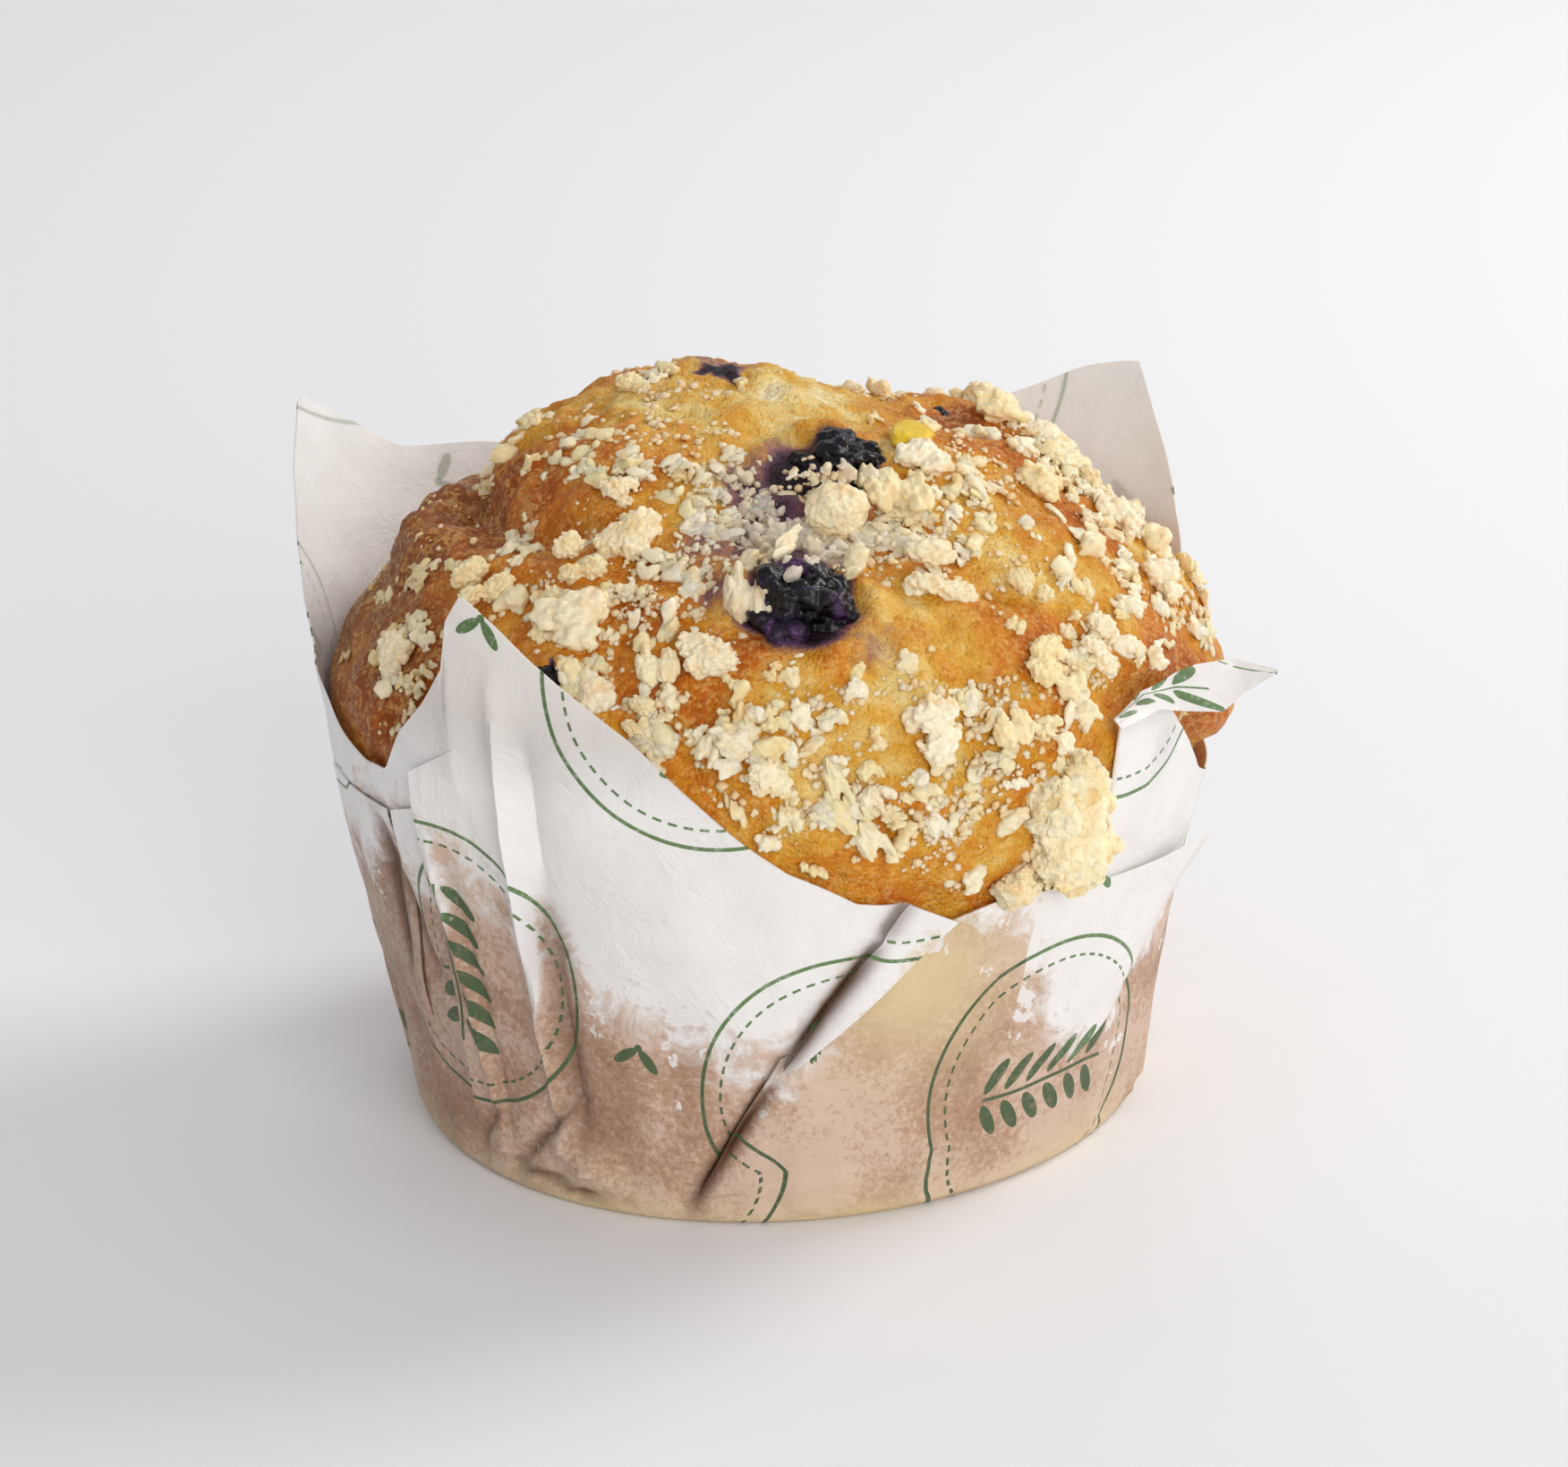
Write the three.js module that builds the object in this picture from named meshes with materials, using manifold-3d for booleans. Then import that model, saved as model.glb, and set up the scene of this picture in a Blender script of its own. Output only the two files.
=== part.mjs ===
// Blueberry streusel muffin of jumbo size in a folded tulip paper case.
//
// Millimetres, +Z up. The origin is the centre of the flat base of the case.
// Azimuths are in degrees round +Z: 0 is the front (-Y), 90 is the right side (+X).
// On the dome a place is an azimuth and a fall, 0 at the apex and 90 at the rim.

import * as THREE from 'three';
import Module from 'manifold-3d';

const wasm = await Module();
wasm.setup();

// ---------------------------------------------------------------- driving dimensions

const FIT = 0.3;              // gap kept between two pieces that touch

const CASE = {
  baseRadius: 36.6,           // outside of the wall at the table
  taper: 0.165,               // growth of the radius for each mm of height
  shoulder: 40,               // height where the tin's rim was and the taper eases
  flare: 0.1,                 // taper above the shoulder
  paper: 0.5,                 // wall, with the layers that the folds bring together
  foot: 1.2,                  // chamfer where the wall turns into the base
  sag: 0.15,                  // how far the flat panels of the wall cut inside its round
};

// The free edge of the case: azimuth and height, straight from one entry to the next.
const EDGE = [
  [-180, 47], [-163, 51], [-147, 54.5], [-130, 57.5],
  [-119, 64.5],               // tip of the back left petal
  [-111, 59.5], [-100, 52], [-90, 46.5], [-75, 44], [-62, 42], [-56.4, 42.2],
  [-51.6, 47.5], [-46.4, 51.4], [-41.4, 55.8], [-41.2, 60],
  [-38.8, 62.6],              // tip of the front left petal
  [-27, 57.1], [-16.7, 50.9], [-4.5, 42.2], [1.8, 37.9], [10.3, 34.2], [17.3, 33.6],
  [22.8, 30.8], [33, 32.2], [40, 31.6], [47.2, 31.4],
  [47.6, 46.4],               // upright edge of the right petal
  [55, 46.8], [61.3, 44.6], [72, 35.6], [80, 33.4], [92, 33.6], [101, 40],
  [110, 50], [115, 54], [121, 57.5],
  [130, 63],                  // tip of the back right petal
  [138, 61.5], [150, 57], [165, 51], [180, 47],
];

// Petals that lean away from the wall: lean is the extra radius at full height.
const LEANING_PETALS = [
  { azimuth: -119, halfWidth: 62, lean: 8.2, from: 34, reach: 30 },
  { azimuth: 130, halfWidth: 46, lean: 6.2, from: 38, reach: 25 },
  { azimuth: -38, halfWidth: 34, lean: -1.6, from: 40, reach: 22 },
  { azimuth: 82, halfWidth: 20, lean: 1.1, from: 16, reach: 16 },
];

// The case stands out a little where its foot was crushed round the front.
const FOOT_BULGE = { azimuth: -22, halfWidth: 75, out: 1.3, height: 14 };

// Folds that lie on the wall. Each is a wedge of folded paper between two rails, a
// rail being [azimuth at the low end, azimuth at the high end]. low and high are its
// ends, as a height or as the heights at its left and right rails, lift is how far it
// stands out at its left and right rails, and curl how far its top right corner gapes.
const FOLDS = [
  { left: [-12.5, 0.2], right: [-4, 8], low: 3, high: 16.8, lift: [0.9, -0.2] },
  { left: [0.2, 17.3], right: [0.9, 23.4], low: 16.8, high: [33.4, 30.6], lift: [1.1, 0.9] },
  { left: [38, 42], right: [46, 77], low: 11, high: [31.2, 27.8], lift: [-0.2, 0.7], curl: 1.7 },
  { left: [-49, -49], right: [-42, -42], low: 3, high: [46, 46], lift: [0.9, -0.2] },
  { left: [-57, -55], right: [-48, -48], low: 22, high: [38.6, 40.4], lift: [0.8, 0.4] },
  { left: [-100, -100], right: [-58, -57], low: 14, high: [34.5, 38.2], lift: [-0.2, 0.4] },
  { left: [-36.5, -35.6], right: [-34.2, -33.6], low: 6, high: 52, lift: [-0.2, 1.0] },
  { left: [-34.2, -33.6], right: [-32.4, -31.8], low: 6, high: 52, lift: [1.0, -0.2] },
  { left: [108, 112], right: [120, 128], low: 4, high: [48, 52], lift: [0.8, -0.2] },
  { left: [160, 158], right: [172, 176], low: 4, high: [49, 45], lift: [-0.2, 0.9] },
  { left: [-150, -154], right: [-138, -136], low: 4, high: [50, 52], lift: [0.8, -0.2] },
];

// The tip of the right petal is folded out level, like the peak of a cap. Its inner and
// outer edges are given as azimuth and radius.
const PEAK = {
  height: 45.9,
  rise: 1.4,
  wave: [0.6, 3.2],           // phase at the left end, and turn from there to the right
  keepOut: { from: 43, to: 80, below: 3, reach: 40 },   // no crumbs in its shade
  inner: [[47.5, 42.6], [61, 42.6], [66, 44.7], [76, 45]],
  outer: [[47.5, 44.4], [52, 47], [58, 49.9], [66, 51.9], [71, 51], [76, 47]],
};

const CAKE = {
  rimHeight: 44,              // height of the rim, where the dome starts
  rise: 25.4,                 // dome above the rim
  bluntness: 2.2,             // exponents of the dome's profile
  fullness: 0.62,
  overhang: 1.1,              // how far the cake swells out over the free edge
  overhangReach: 4,
};

// Swellings and hollows of the crust: height in mm, widths across and along the fall.
const SWELLINGS = [
  { name: 'back left hump', azimuth: -122, fall: 22, height: 2.0, across: 10, along: 9 },
  { name: 'back hump', azimuth: -152, fall: 12, height: 2.3, across: 7, along: 7 },
  { name: 'sunk back', azimuth: 160, fall: 24, height: -1.6, across: 11, along: 11 },
  { name: 'crater', azimuth: 8, fall: 27, height: -3.4, across: 9, along: 10 },
  { name: 'crater lip', azimuth: -30, fall: 17, height: 1.0, across: 7, along: 5 },
  { name: 'sunk left flank', azimuth: -92, fall: 60, height: -2.4, across: 24, along: 12 },
  { name: 'left lobe', azimuth: -92, fall: 50, height: 2.4, across: 12, along: 6 },
  { name: 'front brow', azimuth: 14, fall: 62, height: 0.8, across: 20, along: 9 },
  { name: 'drift at the back right', azimuth: 118, fall: 36, height: 2.0, across: 6, along: 6 },
  { name: 'flat right shoulder', azimuth: 94, fall: 56, height: -1.1, across: 18, along: 12 },
  { name: 'right spill', azimuth: 84, fall: 97, height: 2.6, across: 10, along: 4 },
  { name: 'dent under the peak', azimuth: 60, fall: 83, height: -1.9, across: 9, along: 4 },
  { name: 'bare dough at the front right', azimuth: 38, fall: 95, height: 1.0, across: 6, along: 5 },
];

// Cracks in the crust, as straight grooves between two places.
const CRACKS = [
  { from: [-150, 42], to: [-92, 41], depth: 3.2, width: 3.0 },
  { from: [-92, 42], to: [-46, 35], depth: 2.6, width: 2.6 },
  { from: [92, 14], to: [104, 34], depth: 1.6, width: 2.0 },
];

const BERRIES = [
  { name: 'berry_front', azimuth: 6, fall: 47, size: [12.5, 11.5, 10.5], sunk: 0.56 },
  { name: 'berry_middle', azimuth: 27, fall: 17, size: [12.5, 11, 10], sunk: 0.55 },
  { name: 'berry_back', azimuth: -153, fall: 8, size: [9, 6.5, 5], sunk: 0.86 },
  { name: 'berry_right', azimuth: 114, fall: 27, size: [8.6, 5.5, 5], sunk: 0.66 },
  { name: 'berry_left', azimuth: -31, fall: 63, size: [4.8, 4.2, 4.2], sunk: 0.62 },
];

// Streusel lumps that can be told apart: azimuth, fall, and size across, along, up.
const LUMPS = [
  [19, 28, 6.6, 6.6, 5.4], [-31, 33, 7.2, 6.2, 5.0], [-36, 40, 6.4, 5.4, 4.6],
  [-31, 52, 7.0, 8.2, 4.6], [-52, 49, 6.6, 7.0, 4.4], [-62, 68, 5.2, 5.6, 3.8],
  [-8, 56, 6.6, 5.4, 4.8], [21, 72, 6.2, 6.4, 4.2], [37, 28, 7.6, 7.0, 5.2],
  [52, 25, 6.0, 5.6, 4.6], [32, 45, 7.4, 8.0, 4.8], [51, 66, 5.8, 5.6, 4.2],
  [60, 74, 6.6, 5.0, 4.4], [78, 38, 6.4, 5.6, 4.4], [-24, 64, 5.2, 5.0, 3.6],
  [-4, 71, 4.6, 5.0, 3.4], [0, 78, 4.6, 4.4, 3.2], [53, 78, 5.8, 4.6, 3.8],
  [-51, 75, 4.6, 5.6, 3.4], [39, 65, 5.0, 5.4, 3.8], [-15, 58, 4.6, 4.6, 3.4],
  [107, 42, 6.0, 5.6, 3.6], [99, 50, 6.0, 6.0, 3.4], [86, 53, 6.0, 6.0, 3.8],
  [78, 65, 6.0, 5.6, 4.4], [77, 77, 5.4, 4.8, 4.0], [111, 33, 6.6, 6.0, 5.0],
  [-40, 27, 4.2, 4.2, 3.2], [-112, 16, 3.8, 3.8, 2.8], [44, 52, 4.6, 4.4, 3.2],
  [-16, 68, 4.6, 4.6, 3.2], [31, 75, 4.6, 4.6, 3.4], [126, 38, 6.0, 5.6, 4.4],
  [160, 40, 5.6, 5.2, 3.6], [-170, 52, 5.4, 5.0, 4.0],
];

// The rest of the streusel fell in drifts. spread is the scatter across and along the
// fall in mm, size the smallest and largest crumb, share the part of all crumbs.
const DRIFTS = [
  { azimuth: 4, fall: 68, spread: [20, 9], size: [1.8, 4.0], share: 0.17 },
  { azimuth: 24, fall: 86, spread: [15, 9], size: [1.8, 4.2], share: 0.12 },
  { azimuth: -30, fall: 50, spread: [12, 10], size: [1.8, 4.2], share: 0.11 },
  { azimuth: 14, fall: 32, spread: [9, 6], size: [1.6, 3.6], share: 0.08 },
  { azimuth: 52, fall: 68, spread: [14, 9], size: [1.8, 4.2], share: 0.14 },
  { azimuth: 94, fall: 50, spread: [22, 11], size: [2.2, 5.0], share: 0.20 },
  { azimuth: -60, fall: 66, spread: [11, 9], size: [1.6, 3.8], share: 0.06 },
  { azimuth: 176, fall: 48, spread: [34, 12], size: [2.0, 4.6], share: 0.12 },
];
// Both kinds: how rough they are and how far their centres stand over the crust, as
// shares of their size. The larger ones have more faces.
const LUMP = { fineOver: 6.1, roughness: 0.34, raised: 0.18 };
const CRUMB = { roundOver: 3.4, roughness: 0.5, raised: 0.12, half: 0.6, overBerry: 0.6, lowest: 104 };
const CRUMB_COUNT = 140;
const CRUMB_SEED = 4127;
const BERRY_SEED = 77;

const MATERIALS = {
  muffin: { color: 0xc98a3c, roughness: 0.85, metalness: 0 },
  berry: { color: 0x1d1420, roughness: 0.4, metalness: 0 },
  paper_case: { color: 0xddcdc0, roughness: 0.6, metalness: 0 },
};

// ---------------------------------------------------------------- small helpers

const RAD = Math.PI / 180;

function turnBetween(a, b) {
  return ((((a - b) % 360) + 540) % 360) - 180;
}

function easeIn(x) {
  const t = Math.min(1, Math.max(0, x));
  return t * t * (3 - 2 * t);
}

function mix(a, b, t) {
  return a + (b - a) * t;
}

// A value between a pair of ends. A plain number stands for two equal ends.
function between(ends, t) {
  return Array.isArray(ends) ? mix(ends[0], ends[1], t) : ends;
}

function readTable(table, x) {
  for (let i = 1; i < table.length; i += 1) {
    const [x0, y0] = table[i - 1];
    const [x1, y1] = table[i];
    if (x <= x1) return mix(y0, y1, Math.min(1, Math.max(0, (x - x0) / (x1 - x0))));
  }
  return table[table.length - 1][1];
}

// Repeatable random draws from 0 to 1.
function seededDraws(seed) {
  let state = seed;
  return () => {
    state = (state + 0x6d2b79f5) | 0;
    let t = Math.imul(state ^ (state >>> 15), 1 | state);
    t = (t + Math.imul(t ^ (t >>> 7), 61 | t)) ^ t;
    return ((t ^ (t >>> 14)) >>> 0) / 4294967296;
  };
}

// Near enough a bell curve, from -1.5 to 1.5.
function bellDraw(draw) {
  return draw() + draw() + draw() - 1.5;
}

function polar(azimuth, radius, z) {
  const a = azimuth * RAD;
  return new THREE.Vector3(radius * Math.sin(a), -radius * Math.cos(a), z);
}

// ---------------------------------------------------------------- the case's form

function edgeHeight(azimuth) {
  return readTable(EDGE, turnBetween(azimuth, 0));
}

function caseRadius(azimuth, z) {
  let radius = CASE.baseRadius + CASE.taper * Math.min(z, CASE.shoulder);
  radius += CASE.flare * Math.max(0, z - CASE.shoulder);
  for (const petal of LEANING_PETALS) {
    const window = 1 - easeIn(Math.abs(turnBetween(azimuth, petal.azimuth)) / petal.halfWidth);
    radius += petal.lean * window * (Math.max(0, z - petal.from) / petal.reach) ** 2;
  }
  const round = 1 - easeIn(Math.abs(turnBetween(azimuth, FOOT_BULGE.azimuth)) / FOOT_BULGE.halfWidth);
  return radius + FOOT_BULGE.out * round * (1 - easeIn(z / FOOT_BULGE.height));
}

// ---------------------------------------------------------------- the cake's form

function cakeWallRadius(z) {
  const outside = CASE.baseRadius + CASE.taper * Math.min(z, CASE.shoulder);
  return outside + CASE.flare * Math.max(0, z - CASE.shoulder) - CASE.paper - CASE.sag - FIT;
}

const RIM_RADIUS = cakeWallRadius(CAKE.rimHeight);

// Millimetres along the crust for each degree of fall.
const FALL_PITCH = 0.61;

const CAKE_COLUMNS = 60;
const PANEL = 360 / CAKE_COLUMNS;

function unevenness(p) {
  const broad = Math.sin(0.23 * p.x + 1.3) * Math.sin(0.21 * p.y + 0.4) * Math.cos(0.19 * p.z);
  const fine = Math.sin(0.61 * p.x + 0.27 * p.y) * Math.sin(0.55 * p.y - 0.31 * p.z + 2.1);
  return 0.7 * broad + 0.35 * fine;
}

function cracksAt(azimuth, fall) {
  let depth = 0;
  for (const crack of CRACKS) {
    const [a0, f0] = crack.from;
    const [a1, f1] = crack.to;
    const middle = 0.5 * (f0 + f1) * FALL_PITCH;
    const run = new THREE.Vector2(turnBetween(a1, a0) * RAD * middle, (f1 - f0) * FALL_PITCH);
    const here = new THREE.Vector2(turnBetween(azimuth, a0) * RAD * middle, (fall - f0) * FALL_PITCH);
    const along = Math.min(1, Math.max(0, here.dot(run) / run.lengthSq()));
    const away = here.sub(run.multiplyScalar(along)).length();
    depth += crack.depth * Math.exp(-((away / crack.width) ** 2));
  }
  return depth;
}

// How high the paper holds the cake in. Next to an upright edge of the paper the cake
// stays in as well, over the width of one panel of its own skin.
function paperOver(azimuth) {
  const aside = Math.max(edgeHeight(azimuth - PANEL), edgeHeight(azimuth + PANEL));
  return Math.max(edgeHeight(azimuth), aside - 3);
}

// A point of the cake's outside and the way it faces. A fall over 90 is down the side.
// The paper holds the side in up to its free edge, and above it the cake swells out.
function crust(azimuth, fall) {
  const t = Math.min(90, Math.max(0, fall)) * RAD;
  const z = fall <= 90
    ? CAKE.rimHeight + CAKE.rise * Math.max(0, Math.cos(t)) ** (2 * CAKE.fullness)
    : CAKE.rimHeight - (fall - 90) * FALL_PITCH;
  const radius = fall <= 90 ? RIM_RADIUS * Math.sin(t) ** (2 / CAKE.bluntness) : cakeWallRadius(z);
  const point = polar(azimuth, radius, z);
  const out = polar(azimuth, Math.sin(t) ** 1.6, Math.cos(t)).normalize();
  const free = easeIn((z - paperOver(azimuth) - 0.6) / CAKE.overhangReach);
  let swell = unevenness(point) * easeIn((90 - fall) / 14);
  for (const s of SWELLINGS) {
    const reach = Math.min(s.fall, fall) * FALL_PITCH;
    const across = (turnBetween(azimuth, s.azimuth) * RAD * Math.min(reach, RIM_RADIUS)) / s.across;
    const along = ((fall - s.fall) * FALL_PITCH) / s.along;
    swell += s.height * Math.exp(-(across ** 2) - along ** 2);
  }
  swell -= cracksAt(azimuth, fall);
  swell *= Math.max(free, easeIn((92 - fall) / 12));
  swell += CAKE.overhang * free * easeIn((fall - 40) / 45);
  point.addScaledVector(out, swell);
  return { point, out };
}

// ---------------------------------------------------------------- closed meshes

class Mesher {
  constructor() {
    this.points = [];
    this.faces = [];
  }

  add(point) {
    this.points.push(point);
    return this.points.length - 1;
  }

  quad(a, b, c, d) {
    this.faces.push([a, b, c], [a, c, d]);
  }

  // A flat face over a ring of points, in their order.
  cap(ring, flip) {
    const contour = ring.map((i) => new THREE.Vector2(this.points[i].x, this.points[i].y));
    for (const [a, b, c] of THREE.ShapeUtils.triangulateShape(contour, [])) {
      const face = [ring[a], ring[b], ring[c]];
      this.faces.push(flip ? face.reverse() : face);
    }
  }

  // rows[j][i] is a net of point numbers, i round to the right and j up, seen from outside.
  net(rows, wraps, flip) {
    const columns = rows[0].length;
    const last = wraps ? columns : columns - 1;
    for (let j = 0; j + 1 < rows.length; j += 1) {
      for (let i = 0; i < last; i += 1) {
        const k = (i + 1) % columns;
        const corners = [rows[j][i], rows[j][k], rows[j + 1][k], rows[j + 1][i]];
        if (flip) corners.reverse();
        this.quad(...corners);
      }
    }
  }

  solid() {
    const vertProperties = new Float32Array(this.points.flatMap((p) => [p.x, p.y, p.z]));
    const triVerts = new Uint32Array(this.faces.flat());
    return new wasm.Manifold(new wasm.Mesh({ numProp: 3, vertProperties, triVerts }));
  }
}

// A sheet with a front and a back, closed round its four sides.
function sheetSolid(columns, rows, frontAt, backAt) {
  const mesher = new Mesher();
  const layer = (pointAt) => Array.from({ length: rows + 1 }, (_, j) =>
    Array.from({ length: columns + 1 }, (__, i) => mesher.add(pointAt(i / columns, j / rows))));
  const front = layer(frontAt);
  const back = layer(backAt);
  mesher.net(front, false, false);
  mesher.net(back, false, true);
  mesher.net([back[0], front[0]], false, false);
  mesher.net([front[rows], back[rows]], false, false);
  const side = (net, i) => net.map((row) => row[i]);
  mesher.net([side(front, 0), side(back, 0)], false, false);
  mesher.net([side(back, columns), side(front, columns)], false, false);
  return mesher.solid();
}

// A lump of the given size: a round body with its corners pushed in and out at random.
function lumpMesher(body, size, roughness, draw) {
  const mesher = new Mesher();
  const source = body.getAttribute('position');
  const numbers = new Map();
  const corners = [];
  for (let i = 0; i < source.count; i += 1) {
    const v = new THREE.Vector3().fromBufferAttribute(source, i);
    const key = v.toArray().map((x) => x.toFixed(4).replace('-0.0000', '0.0000')).join();
    if (!numbers.has(key)) {
      const push = 1 + roughness * (draw() - 0.5);
      v.multiplyScalar(push * 0.5).multiply(new THREE.Vector3(...size));
      numbers.set(key, mesher.add(v));
    }
    corners.push(numbers.get(key));
  }
  for (let i = 0; i < corners.length; i += 3) mesher.faces.push(corners.slice(i, i + 3));
  return mesher;
}

// Sets a lump on the crust, its third size pointing out, turned and sunk in.
function setOnCrust(mesher, place, turn, sunk) {
  const up = new THREE.Quaternion().setFromUnitVectors(new THREE.Vector3(0, 0, 1), place.out);
  const spin = new THREE.Quaternion().setFromAxisAngle(new THREE.Vector3(0, 0, 1), turn);
  const centre = place.point.clone().addScaledVector(place.out, -sunk);
  for (const point of mesher.points) point.applyQuaternion(spin).applyQuaternion(up).add(centre);
}

// ---------------------------------------------------------------- the paper case

// The wall bends at every entry of the free edge, and in between at least this often.
const WALL_PANEL = 9;

// Levels of the wall, as shares of the height of the free edge. Low down the inside is
// straight and skips a level.
const WALL_LEVELS = [0.16, 0.42, 0.68, 0.86, 1];
const STRAIGHT_INSIDE = 0.4;

function caseColumns() {
  const azimuths = [];
  for (let i = 1; i < EDGE.length; i += 1) {
    const [a0] = EDGE[i - 1];
    const [a1] = EDGE[i];
    const pieces = Math.ceil((a1 - a0) / WALL_PANEL);
    for (let k = 0; k < pieces; k += 1) azimuths.push(mix(a0, a1, k / pieces));
  }
  return azimuths;
}

function caseShell() {
  const mesher = new Mesher();
  const azimuths = caseColumns();
  const ring = (pointAt) => azimuths.map((azimuth) => mesher.add(pointAt(azimuth)));
  const outside = [
    ring((a) => polar(a, caseRadius(a, 0) - CASE.foot, 0)),
    ring((a) => polar(a, caseRadius(a, CASE.foot), CASE.foot)),
  ];
  const inside = [
    ring((a) => polar(a, caseRadius(a, CASE.foot) - CASE.foot - CASE.paper, CASE.paper)),
    ring((a) => polar(a, caseRadius(a, CASE.foot) - CASE.paper, CASE.foot + CASE.paper)),
  ];
  for (const share of WALL_LEVELS) {
    const height = (a) => mix(CASE.foot, edgeHeight(a), share);
    outside.push(ring((a) => polar(a, caseRadius(a, height(a)), height(a))));
    if (share > STRAIGHT_INSIDE) {
      inside.push(ring((a) => polar(a, caseRadius(a, height(a)) - CASE.paper, height(a))));
    }
  }
  mesher.net(outside, true, false);
  mesher.net(inside, true, true);
  mesher.net([outside.at(-1), inside.at(-1)], true, false);
  mesher.cap(outside[0], true);
  mesher.cap(inside[0], false);
  return mesher.solid();
}

// A fold is a wedge whose back is buried in the wall.
function foldSolid(fold) {
  const width = Math.max(fold.right[0] - fold.left[0], fold.right[1] - fold.left[1]);
  const columns = Math.ceil(width / WALL_PANEL);
  const rows = 3;
  const place = (u, v, lift) => {
    const z = mix(fold.low, between(fold.high, u), v);
    const azimuth = mix(between(fold.left, v), between(fold.right, v), u);
    return polar(azimuth, caseRadius(azimuth, z) + lift, z);
  };
  const gape = (u, v) => (fold.curl ?? 0) * u * u * v * v;
  const front = (u, v) => place(u, v, mix(fold.lift[0], fold.lift[1], u) + gape(u, v));
  const back = (u, v) => place(u, v, -0.6 * CASE.paper);
  return sheetSolid(columns, rows, front, back);
}

// The peak starts level with the top of the wall and waves a little further out.
function peakSolid() {
  const columns = 8;
  const rows = 3;
  const first = PEAK.outer[0][0];
  const last = PEAK.outer.at(-1)[0];
  const place = (u, v, lift) => {
    const azimuth = mix(first, last, u);
    const radius = mix(readTable(PEAK.inner, azimuth), readTable(PEAK.outer, azimuth), v);
    const wave = Math.sin(PEAK.wave[0] + PEAK.wave[1] * u) * v * v;
    return polar(azimuth, radius, PEAK.height + PEAK.rise * wave - lift);
  };
  return sheetSolid(columns, rows, (u, v) => place(u, v, CASE.paper), (u, v) => place(u, v, 0));
}

function paperCase() {
  let solid = caseShell();
  for (const fold of FOLDS) solid = solid.add(foldSolid(fold));
  return solid.add(peakSolid());
}

// ---------------------------------------------------------------- cake, berries, streusel

// Levels of the cake's skin from its side to its top, and the rounding at its foot.
const CAKE_FALLS = [
  150, 122, 112, 106, 101, 96, 91, 86, 80, 74, 68, 62, 56, 50, 44, 38, 32, 26, 20, 14, 7,
];
const CAKE_FOOT = { inset: 2.4, height: 1.8 };

function cakeBody() {
  const mesher = new Mesher();
  const azimuths = Array.from({ length: CAKE_COLUMNS }, (_, i) => -180 + i * PANEL);
  const ring = (pointAt) => azimuths.map((azimuth) => mesher.add(pointAt(azimuth)));
  const floor = CASE.paper + FIT;
  const shoulder = floor + CAKE_FOOT.height;
  const rows = [
    ring((a) => polar(a, cakeWallRadius(floor) - CAKE_FOOT.inset, floor)),
    ring((a) => polar(a, cakeWallRadius(shoulder), shoulder)),
  ];
  for (const fall of CAKE_FALLS) rows.push(ring((a) => crust(a, fall).point));
  mesher.net(rows, true, false);
  mesher.cap(rows[0], true);
  const apex = mesher.add(crust(0, 0).point);
  const top = rows.at(-1);
  top.forEach((corner, i) => mesher.faces.push([corner, top[(i + 1) % top.length], apex]));
  return mesher.solid();
}

// A berry, sunk into the crust by a share of its height, its wrinkles drawn at random.
// The hollow it lies in is the same berry grown by the gap.
function berrySolid(berry, grow) {
  const body = new THREE.IcosahedronGeometry(1, berry.size[0] > 10 ? 2 : 1);
  const size = berry.size.map((x) => x + 2 * grow);
  const mesher = lumpMesher(body, size, 0.1, seededDraws(BERRY_SEED));
  const place = crust(berry.azimuth, berry.fall);
  setOnCrust(mesher, place, berry.azimuth * RAD, berry.size[2] * (berry.sunk - 0.5));
  return mesher.solid();
}

// A crumb may lie over the edge of a berry, and no further in.
function onBerry(point) {
  return BERRIES.some((berry) => {
    const centre = crust(berry.azimuth, berry.fall).point;
    return centre.distanceTo(point) < 0.5 * berry.size[0] - CRUMB.overBerry;
  });
}

// The peak of the right petal shades a strip of the cake where no crumb fits.
function underPeak(point, azimuth, radius) {
  const { from, to, below, reach } = PEAK.keepOut;
  return azimuth > from && azimuth < to && radius > reach && Math.abs(point.z - PEAK.height) < below;
}

// Room for a crumb: over the free edge, or well inside the standing paper.
function crumbFits(point, size) {
  const azimuth = Math.atan2(point.x, -point.y) / RAD;
  const radius = Math.hypot(point.x, point.y);
  const half = CRUMB.half * size;
  const turn = half / radius / RAD;
  const edge = Math.max(edgeHeight(azimuth - turn), edgeHeight(azimuth), edgeHeight(azimuth + turn));
  const inside = caseRadius(azimuth, point.z) - CASE.paper - radius > half + FIT;
  return !underPeak(point, azimuth, radius) && (point.z - half > edge + FIT || inside);
}

function namedLumps(draw) {
  const solids = [];
  for (const [azimuth, fall, across, along, up] of LUMPS) {
    const body = new THREE.IcosahedronGeometry(1, across > LUMP.fineOver ? 1 : 0);
    const mesher = lumpMesher(body, [across, along, up], LUMP.roughness, draw);
    const place = crust(azimuth, fall);
    const turn = draw() * Math.PI;
    if (!crumbFits(place.point, across)) continue;
    setOnCrust(mesher, place, turn, -LUMP.raised * up);
    solids.push(mesher.solid());
  }
  return solids;
}

// A crumb has eight faces, or twenty if it is large, and is a little flat.
function crumbMesher(size, draw) {
  const wide = () => size * (0.85 + 0.4 * draw());
  const sizes = [wide(), wide(), size * (0.75 + 0.2 * draw())];
  const body = size > CRUMB.roundOver ? new THREE.IcosahedronGeometry(1) : new THREE.OctahedronGeometry(1.15);
  return lumpMesher(body, sizes, CRUMB.roughness, draw);
}

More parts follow.
